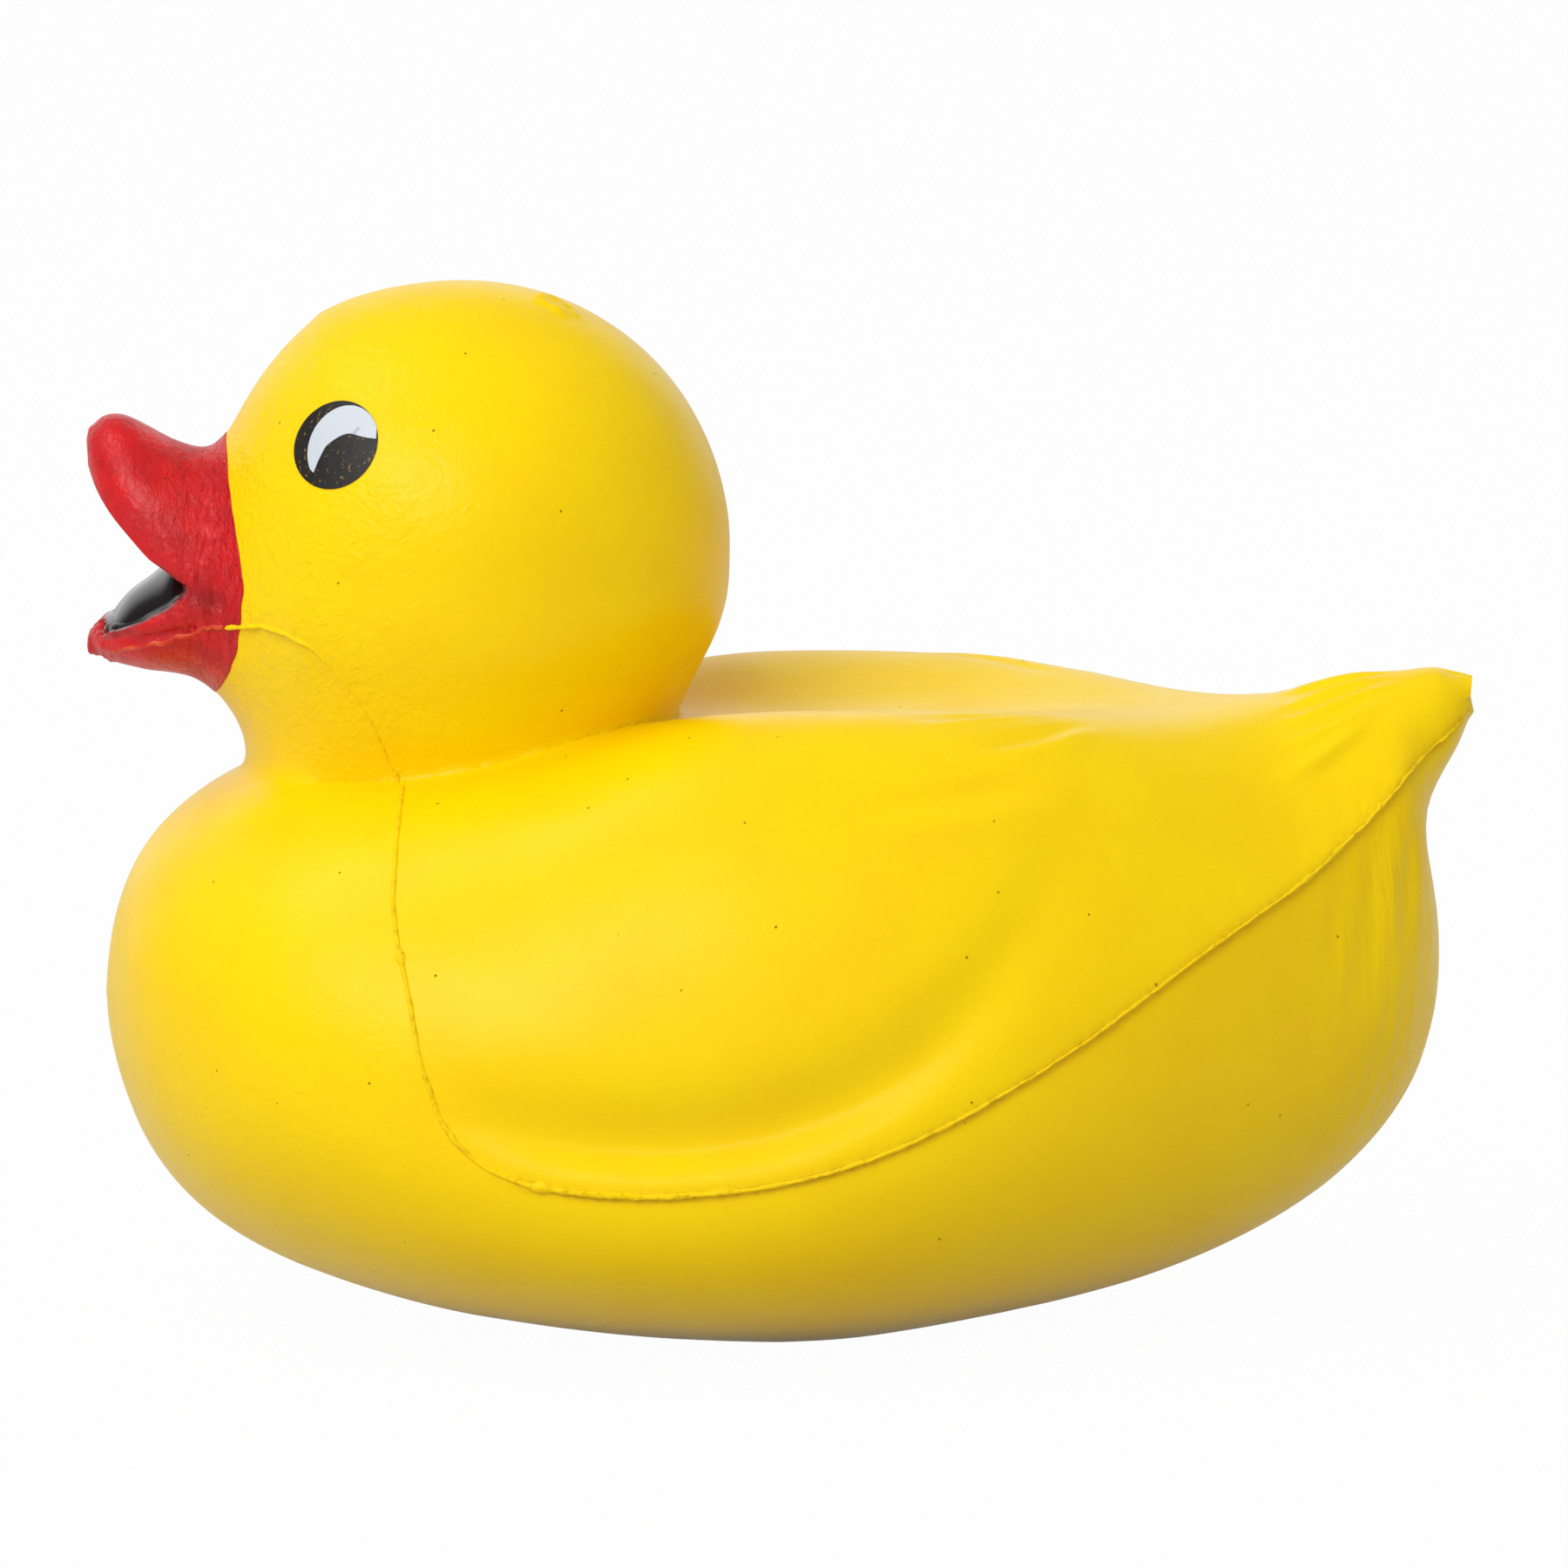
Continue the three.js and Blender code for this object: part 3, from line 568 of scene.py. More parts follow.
for line in WING_FOLDS:
    path = [(CHEST + a * BODY_LENGTH, o * BODY_WIDTH / 2) for a, o in line]
    far, share = to_line(plan[back], path)
    ends = np.sin(math.pi * np.clip(share, 0.02, 0.98)) ** 0.7
    ends *= np.where(co[back, 1] > 0, 0.5, 1)
    lift[back] -= 0.42 * np.exp(-((far / 0.7) ** 2)) * ends
    far, share = to_line(plan[back], np.array(path) + [1.1, 0.5])
    lift[back] += 0.22 * np.exp(-((far / 0.8) ** 2)) * ends

# the skin lies lower under the joint on the cheek
CHEEK = [
    (-36.06, 8.26, 46.00), (-34.76, 9.37, 46.27), (-33.75, 10.78, 46.49), (-32.06, 12.50, 46.29),
    (-30.09, 13.89, 45.47), (-28.12, 14.28, 43.42), (-26.44, 13.85, 40.80), (-25.20, 12.99, 37.83),
    (-24.60, 13.00, 36.60),
]
cheek = np.array(CHEEK)[:-1, [0, 2]]
face = (co[:, 0] < -25.5) & (co[:, 2] > 38) & (co[:, 2] < 46.6) & (np.abs(co[:, 1]) > 4)
far, share = to_line(co[face][:, [0, 2]], cheek)
under = co[face, 2] < np.interp(co[face, 0], *cheek.T)
lift[face] -= 0.3 * under * np.clip(far / 0.4, 0, 1) * np.exp(-far / 1.8) * (1 - 0.75 * share)

# the scar of the pouring hole on the crown, a low ragged blister
lean = Vector((math.sin(math.radians(22)), -math.sin(math.radians(8)), 1)).normalized()
crown = HEAD + np.array(lean) * HEAD_RADIUS
far = np.linalg.norm(co - crown, axis=1)
near = far < 4
rough = grain(co[near], 1.3, 1)
lift[near] += (0.26 + 0.16 * rough) * np.clip((1.55 + 0.5 * rough - far[near]) / 0.4, 0, 1)
lift[near] -= 0.22 * np.exp(-(((far[near] - 0.55) / 0.35) ** 2)) * (rough > -0.1)

# the groove along the side of the lower bill, under its rim
side = (np.abs(co[:, 1]) > 1.5) & (co[:, 0] < -36.5) & (co[:, 2] < 47.4)
groove, share = to_line(co[side][:, [0, 2]], [(-43.6, 44.75), (-41.7, 45.05), (-39.6, 45.5), (-37.4, 46.2)])
lift[side] -= 0.34 * np.exp(-((groove / 0.34) ** 2)) * np.sin(math.pi * np.clip(share, 0.03, 0.97)) ** 0.5

# the soft crease that runs back from the corner of the mouth
side = (np.abs(co[:, 1]) > 4) & (co[:, 0] < -33.5)
crease, share = to_line(co[side][:, [0, 2]], [(-38.3, 48.3), (-37.2, 47.9), (-36, 47.7)])
lift[side] -= 0.3 * np.exp(-((crease / 0.7) ** 2)) * (1 - 0.7 * share)

# upright folds under the tail, where the foam was pulled from the mould, as ends, depth and width
RUMP_FOLDS = (
    ((38.2, 34.5), (37.2, 22), 0.3, 0.9),
    ((40.4, 33.5), (40.0, 25), 0.34, 0.5),
    ((41.3, 31), (41.2, 18), 0.2, 0.6),
    ((36.2, 33), (35.0, 24), 0.14, 0.8),
)
rump = (co[:, 0] > 33) & (co[:, 2] < 37) & (co[:, 2] > 10)
for top, foot, depth, wide in RUMP_FOLDS:
    fold, share = to_line(co[rump][:, [0, 2]], [top, foot])
    lift[rump] -= depth * np.exp(-((fold / wide) ** 2)) * np.sin(math.pi * np.clip(share, 0.03, 0.97)) ** 0.7

# torn, uneven rims at the tip of the tail and the tips of the bill
TORN_TIPS = ((TIP, 3.2, 0.5), ((-44.7, 0, 44.0), 2.6, 0.32), ((-44.3, 0, 57.5), 2.2, 0.2))
for tip, reach, depth in TORN_TIPS:
    far = np.linalg.norm(co - tip, axis=1)
    near = far < reach
    torn = np.clip(grain(co[near], 1.1, 2) + 0.5 * grain(co[near], 2.6, 3) + 0.15, 0, 1)
    lift[near] -= depth * torn * (1 - far[near] / reach)
jaw_tip = (co[:, 0] < -43.2) & (co[:, 2] > 42.8) & (co[:, 2] < 45.6)
lift[jaw_tip] += 0.24 * grain(co[jaw_tip], 1.9, 8)

# hands and the mould left the skin very slightly uneven
lift += 0.05 * grain(co, 0.13, 4) + 0.02 * grain(co, 0.4, 5)
lift[co[:, 2] < 0.3] = 0
moved = co + normal * lift[:, None]

# the tail's tip is drawn out into two small points, with a notch between them
TAIL_POINTS = (
    ((44.4, 0, 41.6), 1.5, (0.5, 0, 0.15)),
    ((44.6, 0, 40.0), 0.8, (0.4, 0, -0.2)),
    (TIP, 0.5, (-0.5, 0, 0)),
)
for tip, reach, pull in TAIL_POINTS:
    far = np.linalg.norm((co - tip) * [1, 0.6, 1], axis=1)
    moved += np.clip(1 - far / reach, 0, 1)[:, None] * pull
moved *= MM
moulding.data.vertices.foreach_set("co", moved.ravel())
moulding.data.update()
pick_only(moulding)
bpy.ops.object.shade_smooth_by_angle(angle=math.radians(50), keep_sharp_edges=True)

# painted shade under the joint: how near each point of the skin is to the parting line, most on its lower
# side, where the step's shade falls
seam = [section(t)[LOWER] for t in np.linspace(6.75, 18.6, 400)]
tree_of_seam = kdtree.KDTree(2 * len(seam))
for i, p in enumerate(seam):
    tree_of_seam.insert(Vector(p), 2 * i)
    tree_of_seam.insert(Vector(p * [1, -1, 1]), 2 * i + 1)
tree_of_seam.balance()
shade_under_joint = np.zeros(len(co))
co = places(moulding)
for i in np.nonzero((co[:, 0] > -24) & (co[:, 2] > 8) & (co[:, 2] < 41.5))[0]:
    near, _, far = tree_of_seam.find(Vector(co[i]))
    if far < 1.2:
        shade_under_joint[i] = math.exp(-((far / 0.4) ** 2)) * (0.4 if co[i, 2] > near.z + 0.05 else 1)
moulding.data.attributes.new("joint", "FLOAT", "POINT").data.foreach_set("value", shade_under_joint)


# Foam skin
# The casting's own closed skin: satin yellow, faintly mottled, with orange peel on the cheeks, fine
# pinholes where bubbles broke, drag marks on the rump and a line of painted shade under the joint.
def in_millimetres(tree):
    """The piece's own coordinates, in which a pattern's scale is 1 / its size in millimetres."""
    spot = add(tree, "ShaderNodeTexCoord")
    mm = add(tree, "ShaderNodeVectorMath", {0: spot.outputs["Object"], 3: 1 / MM}, operation="SCALE")
    return mm.outputs[0]


foam = bpy.data.materials.new("moulded polyurethane foam skin")
foam.use_nodes = True
tree = foam.node_tree
tree.nodes.clear()
mm = in_millimetres(tree)
axes = add(tree, "ShaderNodeSeparateXYZ", {0: mm})
mottle = add(tree, "ShaderNodeTexNoise", {"Vector": mm, "Scale": 0.11, "Detail": 3, "Roughness": 0.55})
patch = add(tree, "ShaderNodeMapRange", {"Value": mottle.outputs[0], "From Min": 0.42, "From Max": 0.68})
fleck = add(tree, "ShaderNodeTexNoise", {"Vector": mm, "Scale": 2.6, "Detail": 2})
fine = add(tree, "ShaderNodeMapRange", {
    "Value": fleck.outputs[0], "From Min": 0.35, "From Max": 0.75, "To Max": 0.22,
})
mix = add(tree, "ShaderNodeMath", {0: patch.outputs[0], 1: 0.55}, operation="MULTIPLY")
mix = add(tree, "ShaderNodeMath", {0: mix.outputs[0], 1: fine.outputs[0]}, operation="ADD", use_clamp=True)
colour = add(tree, "ShaderNodeMix", {
    0: mix.outputs[0], 6: tint("#FFDA00"), 7: tint("#FBD000"),
}, data_type="RGBA")
cells = add(tree, "ShaderNodeTexVoronoi", {"Vector": mm, "Scale": 0.5}, feature="F1")
near = add(tree, "ShaderNodeMapRange", {
    "Value": cells.outputs["Distance"], "From Min": 0.025, "From Max": 0.05, "To Min": 1, "To Max": 0,
})
pick = add(tree, "ShaderNodeSeparateColor", {0: cells.outputs["Color"]})
some = add(tree, "ShaderNodeMath", {0: pick.outputs[0], 1: 0.68}, operation="GREATER_THAN")
hole = add(tree, "ShaderNodeMath", {0: near.outputs[0], 1: some.outputs[0]}, operation="MULTIPLY")
shade = add(tree, "ShaderNodeMath", {0: hole.outputs[0], 1: 0.75}, operation="MULTIPLY")
# painted shade: a broken dark line just under the joint's step, fainter above it
joint = add(tree, "ShaderNodeAttribute", attribute_name="joint")
crumbs = add(tree, "ShaderNodeTexNoise", {"Vector": mm, "Scale": 1.9, "Detail": 3})
crumbs = add(tree, "ShaderNodeMapRange", {
    "Value": crumbs.outputs[0], "From Min": 0.35, "From Max": 0.62, "To Min": 0.25, "To Max": 0.85,
})
joint_shade = add(tree, "ShaderNodeMath", {0: joint.outputs["Fac"], 1: crumbs.outputs[0]}, operation="MULTIPLY")
smear = add(tree, "ShaderNodeMapRange", {
    "Value": axes.outputs["Z"], "From Min": 0.0, "From Max": 1.2, "To Min": 0.45, "To Max": 0,
})
scuff = add(tree, "ShaderNodeTexNoise", {"Vector": mm, "Scale": 0.5, "Detail": 4})
scuff = add(tree, "ShaderNodeMapRange", {"Value": scuff.outputs[0], "From Min": 0.45, "From Max": 0.7})
scuff = add(tree, "ShaderNodeMath", {0: smear.outputs[0], 1: scuff.outputs[0]}, operation="MULTIPLY")
for amount, hue in ((shade, "#8A5A08"), (joint_shade, "#B88308"), (scuff, "#A9822E")):
    colour = add(tree, "ShaderNodeMix", {
        0: amount.outputs[0], 6: colour.outputs[2], 7: tint(hue),
    }, data_type="RGBA")

peel = add(tree, "ShaderNodeTexNoise", {
    "Vector": mm, "Scale": 1.3, "Detail": 3, "Roughness": 0.5, "Distortion": 0.8,
})
higher = add(tree, "ShaderNodeMapRange", {
    "Value": axes.outputs["Z"], "From Min": 36, "From Max": 42, "To Min": 0.3, "To Max": 0.8,
})
by_bill = add(tree, "ShaderNodeMapRange", {
    "Value": axes.outputs["X"], "From Min": -30, "From Max": -18, "To Min": 2.4, "To Max": 0.5,
})
peel = add(tree, "ShaderNodeMath", {0: peel.outputs[0], 1: higher.outputs[0]}, operation="MULTIPLY")
peel = add(tree, "ShaderNodeMath", {0: peel.outputs[0], 1: by_bill.outputs[0]}, operation="MULTIPLY")
drag = add(tree, "ShaderNodeVectorMath", {0: mm, 1: (1, 1, 0.07)}, operation="MULTIPLY")
drag = add(tree, "ShaderNodeTexNoise", {"Vector": drag.outputs[0], "Scale": 0.8, "Detail": 3})
rump = add(tree, "ShaderNodeMapRange", {
    "Value": axes.outputs["X"], "From Min": 33, "From Max": 38, "To Min": 0, "To Max": 3.5,
})
under_tail = add(tree, "ShaderNodeMapRange", {
    "Value": axes.outputs["Z"], "From Min": 34, "From Max": 38, "To Min": 1, "To Max": 0,
})
drag = add(tree, "ShaderNodeMath", {0: drag.outputs[0], 1: rump.outputs[0]}, operation="MULTIPLY")
drag = add(tree, "ShaderNodeMath", {0: drag.outputs[0], 1: under_tail.outputs[0]}, operation="MULTIPLY")
relief = add(tree, "ShaderNodeMath", {0: peel.outputs[0], 1: drag.outputs[0]}, operation="ADD")
pore = add(tree, "ShaderNodeTexNoise", {"Vector": mm, "Scale": 4.5, "Detail": 1})
pore = add(tree, "ShaderNodeMath", {0: pore.outputs[0], 1: 0.12}, operation="MULTIPLY")
relief = add(tree, "ShaderNodeMath", {0: relief.outputs[0], 1: pore.outputs[0]}, operation="ADD")
relief = add(tree, "ShaderNodeMath", {0: relief.outputs[0], 1: hole.outputs[0]}, operation="SUBTRACT")
bump = add(tree, "ShaderNodeBump", {"Height": relief.outputs[0], "Distance": 0.09 * MM, "Strength": 1})
gloss = add(tree, "ShaderNodeMapRange", {
    "Value": mottle.outputs[0], "From Min": 0.3, "From Max": 0.7, "To Min": 0.28, "To Max": 0.36,
})
skin = add(tree, "ShaderNodeBsdfPrincipled", {
    "Base Color": colour.outputs[2], "Roughness": gloss.outputs[0], "IOR": 1.5,
    "Specular IOR Level": 0.17, "Normal": bump.outputs[0],
})
add(tree, "ShaderNodeOutputMaterial", {"Surface": skin.outputs[0]})
moulding.data.materials.append(foam)
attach(moulding, "root")
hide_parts("duck")

# Mould flash
# A thin irregular bead of foam that bled into the joint of the two mould halves, from the bill over
# the cheek and the neck, down the front of the wing and along its lower edge to the tail.
WING_FRONT = [
    (-24.36, 13.05, 36.95), (-24.92, 20.88, 33.43), (-25.09, 23.35, 31.36), (-24.92, 25.13, 29.41),
    (-24.41, 26.90, 26.83), (-23.91, 28.03, 24.55), (-23.40, 28.85, 21.83), (-22.61, 29.26, 19.45),
    (-21.71, 29.36, 17.24), (-20.42, 29.96, 15.68), (-18.62, 30.58, 14.35), (-16.20, 31.12, 13.52),
]
BEAD_STEP = 0.18
# its section: across and up as shares of its half width and height, and a depth below the skin
BEAD_PROFILE = ((-1, 0, -0.05), (-0.6, 0.65, 0), (0, 1, 0), (0.6, 0.65, 0), (1, 0, -0.05), (0, 0, -0.3))
skin_tree = BVHTree.FromObject(moulding, bpy.context.evaluated_depsgraph_get())


def bead(name, line, size):
    """A closed bead of foam along a line on the skin. size gives half width and height at each share."""
    line = np.array(line)
    count = int(np.linalg.norm(np.diff(line, axis=0), axis=1).sum() / BEAD_STEP)
    line = even(line, np.linspace(0, 1, count))
    laid, out = [], []
    for p in line:
        near, normal, _, _ = skin_tree.find_nearest(Vector(p) * MM)
        laid.append(np.array(near) / MM)
        out.append(np.array(normal))
    laid, out = np.array(laid), np.array(out)
    for _ in range(3):
        out[1:-1] = (out[:-2] + out[1:-1] + out[2:]) / 3
    out /= np.linalg.norm(out, axis=1)[:, None]
    run = np.gradient(laid, axis=0)
    across = np.cross(run, out)
    across /= np.linalg.norm(across, axis=1)[:, None]
    rings = []
    for i in range(count):
        wide, high = size(i / (count - 1), laid[i])
        wander = 0.07 * noise.noise(Vector(laid[i]) * 0.9)
        rings.append([
            laid[i] + across[i] * (a * wide + wander) + out[i] * (b * high + c)
            for a, b, c in BEAD_PROFILE
        ])
    return grid_mesh(name, rings[1:-1], laid[0], laid[-1])


def flash_size(share, p):
    """Half width and height of the flash: ragged, with a rare blob, and finer on the neck and behind."""
    v = Vector(p)
    rough = noise.noise(v * 1.6) * 0.5 + noise.noise(v * 3.7 + Vector((9, 0, 0))) * 0.35
    blob = max(0, noise.noise(v * 0.55 + Vector((3, 7, 0))) - 0.42) * 0.7
    ragged = np.clip((p[0] - 41.5) / 2, 0, 1)
    end = min(1, share * 60, (1 - share) * 40)
    rear = 1 - 0.45 * np.clip((p[0] + 12) / 14, 0, 1)
    cheek = 1 - 0.6 * np.clip((p[0] + 31) / 2, 0, 1) * (p[2] > 37.5)
    wide = (0.2 + 0.05 * rough) * rear * cheek + blob
    high = (0.19 + 0.13 * rough) * rear * cheek + 0.5 * blob + ragged * (0.2 + 0.25 * rough)
    return wide * max(0.3, end), max(0.03, high) * end


flash_foam = foam.copy()
flash_foam.name = "polyurethane foam flash"
tree = flash_foam.node_tree
skin = tree.nodes["Principled BSDF"]
tree.links.remove(skin.inputs["Roughness"].links[0])
skin.inputs["Roughness"].default_value = 0.5
mm = in_millimetres(tree)
axes = add(tree, "ShaderNodeSeparateXYZ", {0: mm})
# painted shade: dark dots in the flash from the neck back, where its pinholes hold shade
dots = add(tree, "ShaderNodeTexNoise", {"Vector": mm, "Scale": 1.9, "Detail": 2})
dots = add(tree, "ShaderNodeMapRange", {"Value": dots.outputs[0], "From Min": 0.54, "From Max": 0.66})
on_neck = add(tree, "ShaderNodeMapRange", {
    "Value": axes.outputs["X"], "From Min": -31.5, "From Max": -29.5, "To Min": 0, "To Max": 0.28,
})
dots = add(tree, "ShaderNodeMath", {0: dots.outputs[0], 1: on_neck.outputs[0]}, operation="MULTIPLY")
plain = skin.inputs["Base Color"].links[0].from_socket
dotted = add(tree, "ShaderNodeMix", {0: dots.outputs[0], 6: plain, 7: tint("#9A6C08")}, data_type="RGBA")
tree.links.new(dotted.outputs[2], skin.inputs["Base Color"])
flashes = []
for side, word in ((-1, "left"), (1, "right")):
    strips = []
    for table in (CHEEK, WING_FRONT):
        line = np.array(table)
        t = np.linspace(0, len(line) - 1, 300)
        path = np.stack([spline(line[:, i])(t) for i in range(3)], 1)
        if table is WING_FRONT:
            path = np.r_[path, [p for p in seam if p[0] > -15.5]]
        strips.append(bead("flash_" + word, path * [1, side, 1], flash_size))
    pick_only(strips[1], strips[0])
    bpy.ops.object.join()
    bpy.ops.object.shade_smooth_by_angle(angle=math.radians(60))
    flash = bpy.context.object
    flash.name = "flash_" + word
    flash.data.materials.append(flash_foam)
    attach(flash, "root")
    flashes.append(flash)

# Bill paint
# Red gloss enamel brushed over the bill up to the cheeks, and the tongue painted black over it.
EDGE_TOP, EDGE_FOOT = 60, 38
EDGE = [(-35.9, EDGE_TOP), (-35.9, 57.1), (-35.72, 55), (-34.9, 50.9), (-34.72, 48.7),
        (-34.95, 46.3), (-35.3, 44.1), (-35.9, 42.5), (-36.8, 40.9), (-38.6, EDGE_FOOT)]
PAINT_THICKNESS = 0.1
CUTTER_FRONT = -50
CUTTER_HALF = 12
edge_line = np.array(EDGE)
z_even = np.linspace(EDGE_TOP, EDGE_FOOT, 120)
x_even = np.interp(-z_even, -edge_line[:, 1], edge_line[:, 0])
for _ in range(16):
    x_even[1:-1] = (x_even[:-2] + 2 * x_even[1:-1] + x_even[2:]) / 4
x_even += 0.12 * grain(np.stack([x_even, x_even * 0, z_even], 1), 0.9, 6)
outline = [(CUTTER_FRONT, EDGE_TOP), *zip(x_even, z_even), (CUTTER_FRONT, EDGE_FOOT)]
n = len(outline)
points = [(x * MM, side * CUTTER_HALF * MM, z * MM) for side in (-1, 1) for x, z in outline]
faces = [tuple(range(n))[::-1], tuple(range(n, 2 * n))]
faces += [(i, (i + 1) % n, n + (i + 1) % n, n + i) for i in range(n)]
cutter = new_object("bill cutter", points, faces)
face_outwards(cutter)
bill = moulding.copy()
bill.data = moulding.data.copy()
bill.name = "bill_paint"
bpy.context.scene.collection.objects.link(bill)
for key in list(bill.keys()):
    del bill[key]
bill.data.materials.clear()
bpy.context.view_layer.objects.active = bill
cut = bill.modifiers.new("cut", "BOOLEAN")
cut.operation = "INTERSECT"
cut.solver = "EXACT"
cut.object = cutter
bpy.ops.object.modifier_apply(modifier=cut.name)
bpy.data.objects.remove(cutter)


def thicken(obj, thickness):
    """Gives the active object's open skin a thickness in millimetres, half on either side."""
    film = obj.modifiers.new("film", "SOLIDIFY")
    film.thickness = thickness * MM
    film.offset = 0
    bpy.ops.object.modifier_apply(modifier=film.name)


# the cut face goes, and the open skin is thickened into a film
pick_only(bill)
gone = []
for f in bill.data.polygons:
    c = f.center / MM
    gone.append(abs(c.x - np.interp(-c.z, -z_even, x_even)) < 0.03 and f.normal.x > 0.7 and f.area > 1e-8)
bill.data.polygons.foreach_set("select", gone)
bpy.ops.object.mode_set(mode="EDIT")
bpy.ops.mesh.select_mode(type="FACE")
bpy.ops.mesh.delete(type="FACE")
bpy.ops.object.mode_set(mode="OBJECT")
thicken(bill, PAINT_THICKNESS)

# the foam lies a hair below its paint
PAINT_ROOM = 0.06
MOUTH_ROOM = 0.1  # and how much more in the pocket of the mouth, where the film folds
co = places(moulding)
covered = np.clip((np.interp(-co[:, 2], -z_even, x_even) - 0.4 - co[:, 0]) / 0.4, 0, 1) * (co[:, 2] > 39)
pocket = np.clip(1.5 - np.linalg.norm((co - [-38, 0, 48.5]) * [1, 0, 1], axis=1) / 2, 0, 1)
co -= ((PAINT_ROOM + MOUTH_ROOM * pocket) * covered)[:, None] * normals(moulding)
moulding.data.vertices.foreach_set("co", (co * MM).ravel())
moulding.data.update()

# where the paint is black: on the tongue, down to an uneven line low on its sides
tongue_tree = BVHTree.FromObject(tongue, bpy.context.evaluated_depsgraph_get())
bpy.data.objects.remove(tongue)
BLACK_LOW = [(-33, 52), (-38.0, 50.0), (-38.5, 48.6), (-38.9, 47.7), (-39.9, 46.95),
             (-40.7, 46.4), (-41.6, 45.95), (-42.75, 45.5), (-43.9, 45.0)]
low = np.array(BLACK_LOW)[::-1]
co = places(bill)
far = np.array([tongue_tree.find_nearest(Vector(p) * MM)[3] for p in co]) / MM
wobble = grain(co, 1.1, 7) * 0.22
above = co[:, 2] - np.interp(co[:, 0], low[:, 0], low[:, 1]) + 0.3 + wobble
black = np.clip((0.5 - far) / 0.2, 0, 1) * np.clip(0.5 + above / 0.4, 0, 1)
bill.data.attributes.new("black", "FLOAT", "POINT").data.foreach_set("value", black)
under = np.clip((43.6 - co[:, 2]) / 1.6, 0, 1) * (co[:, 0] < -34)
bill.data.attributes.new("thin", "FLOAT", "POINT").data.foreach_set("value", under)
# painted shade: the red is darker towards the corner of the mouth
mouth_corner_shade = np.exp(-(np.linalg.norm((co - [-37.3, 0, 47.9]) * [0.7, 0, 1.1], axis=1) ** 2))
bill.data.attributes.new("mouth_corner_shade", "FLOAT", "POINT").data.foreach_set("value", mouth_corner_shade)
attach(bill, "root")

enamel = bpy.data.materials.new("brushed red gloss enamel")
enamel.use_nodes = True
tree = enamel.node_tree
tree.nodes.clear()
mm = in_millimetres(tree)
axes = add(tree, "ShaderNodeSeparateXYZ", {0: mm})
uneven = add(tree, "ShaderNodeTexNoise", {"Vector": mm, "Scale": 0.55, "Detail": 3})
uneven = add(tree, "ShaderNodeMapRange", {"Value": uneven.outputs[0], "From Min": 0.38, "From Max": 0.66})
colour = add(tree, "ShaderNodeMix", {
    0: uneven.outputs[0], 6: tint("#D8141C"), 7: tint("#C40C17"),
}, data_type="RGBA")
thin = add(tree, "ShaderNodeAttribute", attribute_name="thin")
thin = add(tree, "ShaderNodeMath", {0: thin.outputs["Fac"], 1: 0.7}, operation="MULTIPLY")
# painted shade in the corner of the mouth
mouth_corner_shade = add(tree, "ShaderNodeAttribute", attribute_name="mouth_corner_shade")
painted_corner_shade = add(tree, "ShaderNodeMath", {0: mouth_corner_shade.outputs["Fac"], 1: 0.6}, operation="MULTIPLY")
specks = add(tree, "ShaderNodeTexNoise", {"Vector": mm, "Scale": 3.2, "Detail": 1})
specks = add(tree, "ShaderNodeMapRange", {
    "Value": specks.outputs[0], "From Min": 0.7, "From Max": 0.76, "To Max": 0.7,
})
for amount, hue in ((thin, "#D23A0C"), (painted_corner_shade, "#7E0A12"), (specks, "#7C0C12")):
    colour = add(tree, "ShaderNodeMix", {
        0: amount.outputs[0], 6: colour.outputs[2], 7: tint(hue),
    }, data_type="RGBA")
black = add(tree, "ShaderNodeAttribute", attribute_name="black")
colour = add(tree, "ShaderNodeMix", {
    0: black.outputs["Fac"], 6: colour.outputs[2], 7: tint("#120D0F"),
}, data_type="RGBA")
wrinkle = add(tree, "ShaderNodeVectorMath", {0: mm, 1: (1.7, 0.8, 0.8)}, operation="MULTIPLY")
wrinkle = add(tree, "ShaderNodeTexNoise", {
    "Vector": wrinkle.outputs[0], "Scale": 1.0, "Detail": 4, "Roughness": 0.6, "Distortion": 1.2,
})
root = add(tree, "ShaderNodeMapRange", {
    "Value": axes.outputs["X"], "From Min": -41.5, "From Max": -37.0, "To Min": 0.25, "To Max": 1,
})
wrinkle = add(tree, "ShaderNodeMath", {0: wrinkle.outputs[0], 1: root.outputs[0]}, operation="MULTIPLY")
dry = add(tree, "ShaderNodeMath", {0: 1, 1: black.outputs["Fac"]}, operation="SUBTRACT")
wrinkle = add(tree, "ShaderNodeMath", {0: wrinkle.outputs[0], 1: dry.outputs[0]}, operation="MULTIPLY")
orange = add(tree, "ShaderNodeTexNoise", {"Vector": mm, "Scale": 2.4, "Detail": 1})
orange = add(tree, "ShaderNodeMath", {0: orange.outputs[0], 1: 0.12}, operation="MULTIPLY")
orange = add(tree, "ShaderNodeMath", {0: orange.outputs[0], 1: dry.outputs[0]}, operation="MULTIPLY")
relief = add(tree, "ShaderNodeMath", {0: wrinkle.outputs[0], 1: orange.outputs[0]}, operation="ADD")
bump = add(tree, "ShaderNodeBump", {"Height": relief.outputs[0], "Distance": 0.4 * MM, "Strength": 1})
gloss = add(tree, "ShaderNodeMapRange", {"Value": uneven.outputs[0], "To Min": 0.3, "To Max": 0.4})
wet = add(tree, "ShaderNodeMix", {0: black.outputs["Fac"], 2: gloss.outputs[0], 3: 0.1}, data_type="FLOAT")
paint = add(tree, "ShaderNodeBsdfPrincipled", {
    "Base Color": colour.outputs[2], "Roughness": wet.outputs[0], "IOR": 1.5, "Specular IOR Level": 0.4,
    "Normal": bump.outputs[0],
})
add(tree, "ShaderNodeOutputMaterial", {"Surface": paint.outputs[0]})
bill.data.materials.append(enamel)

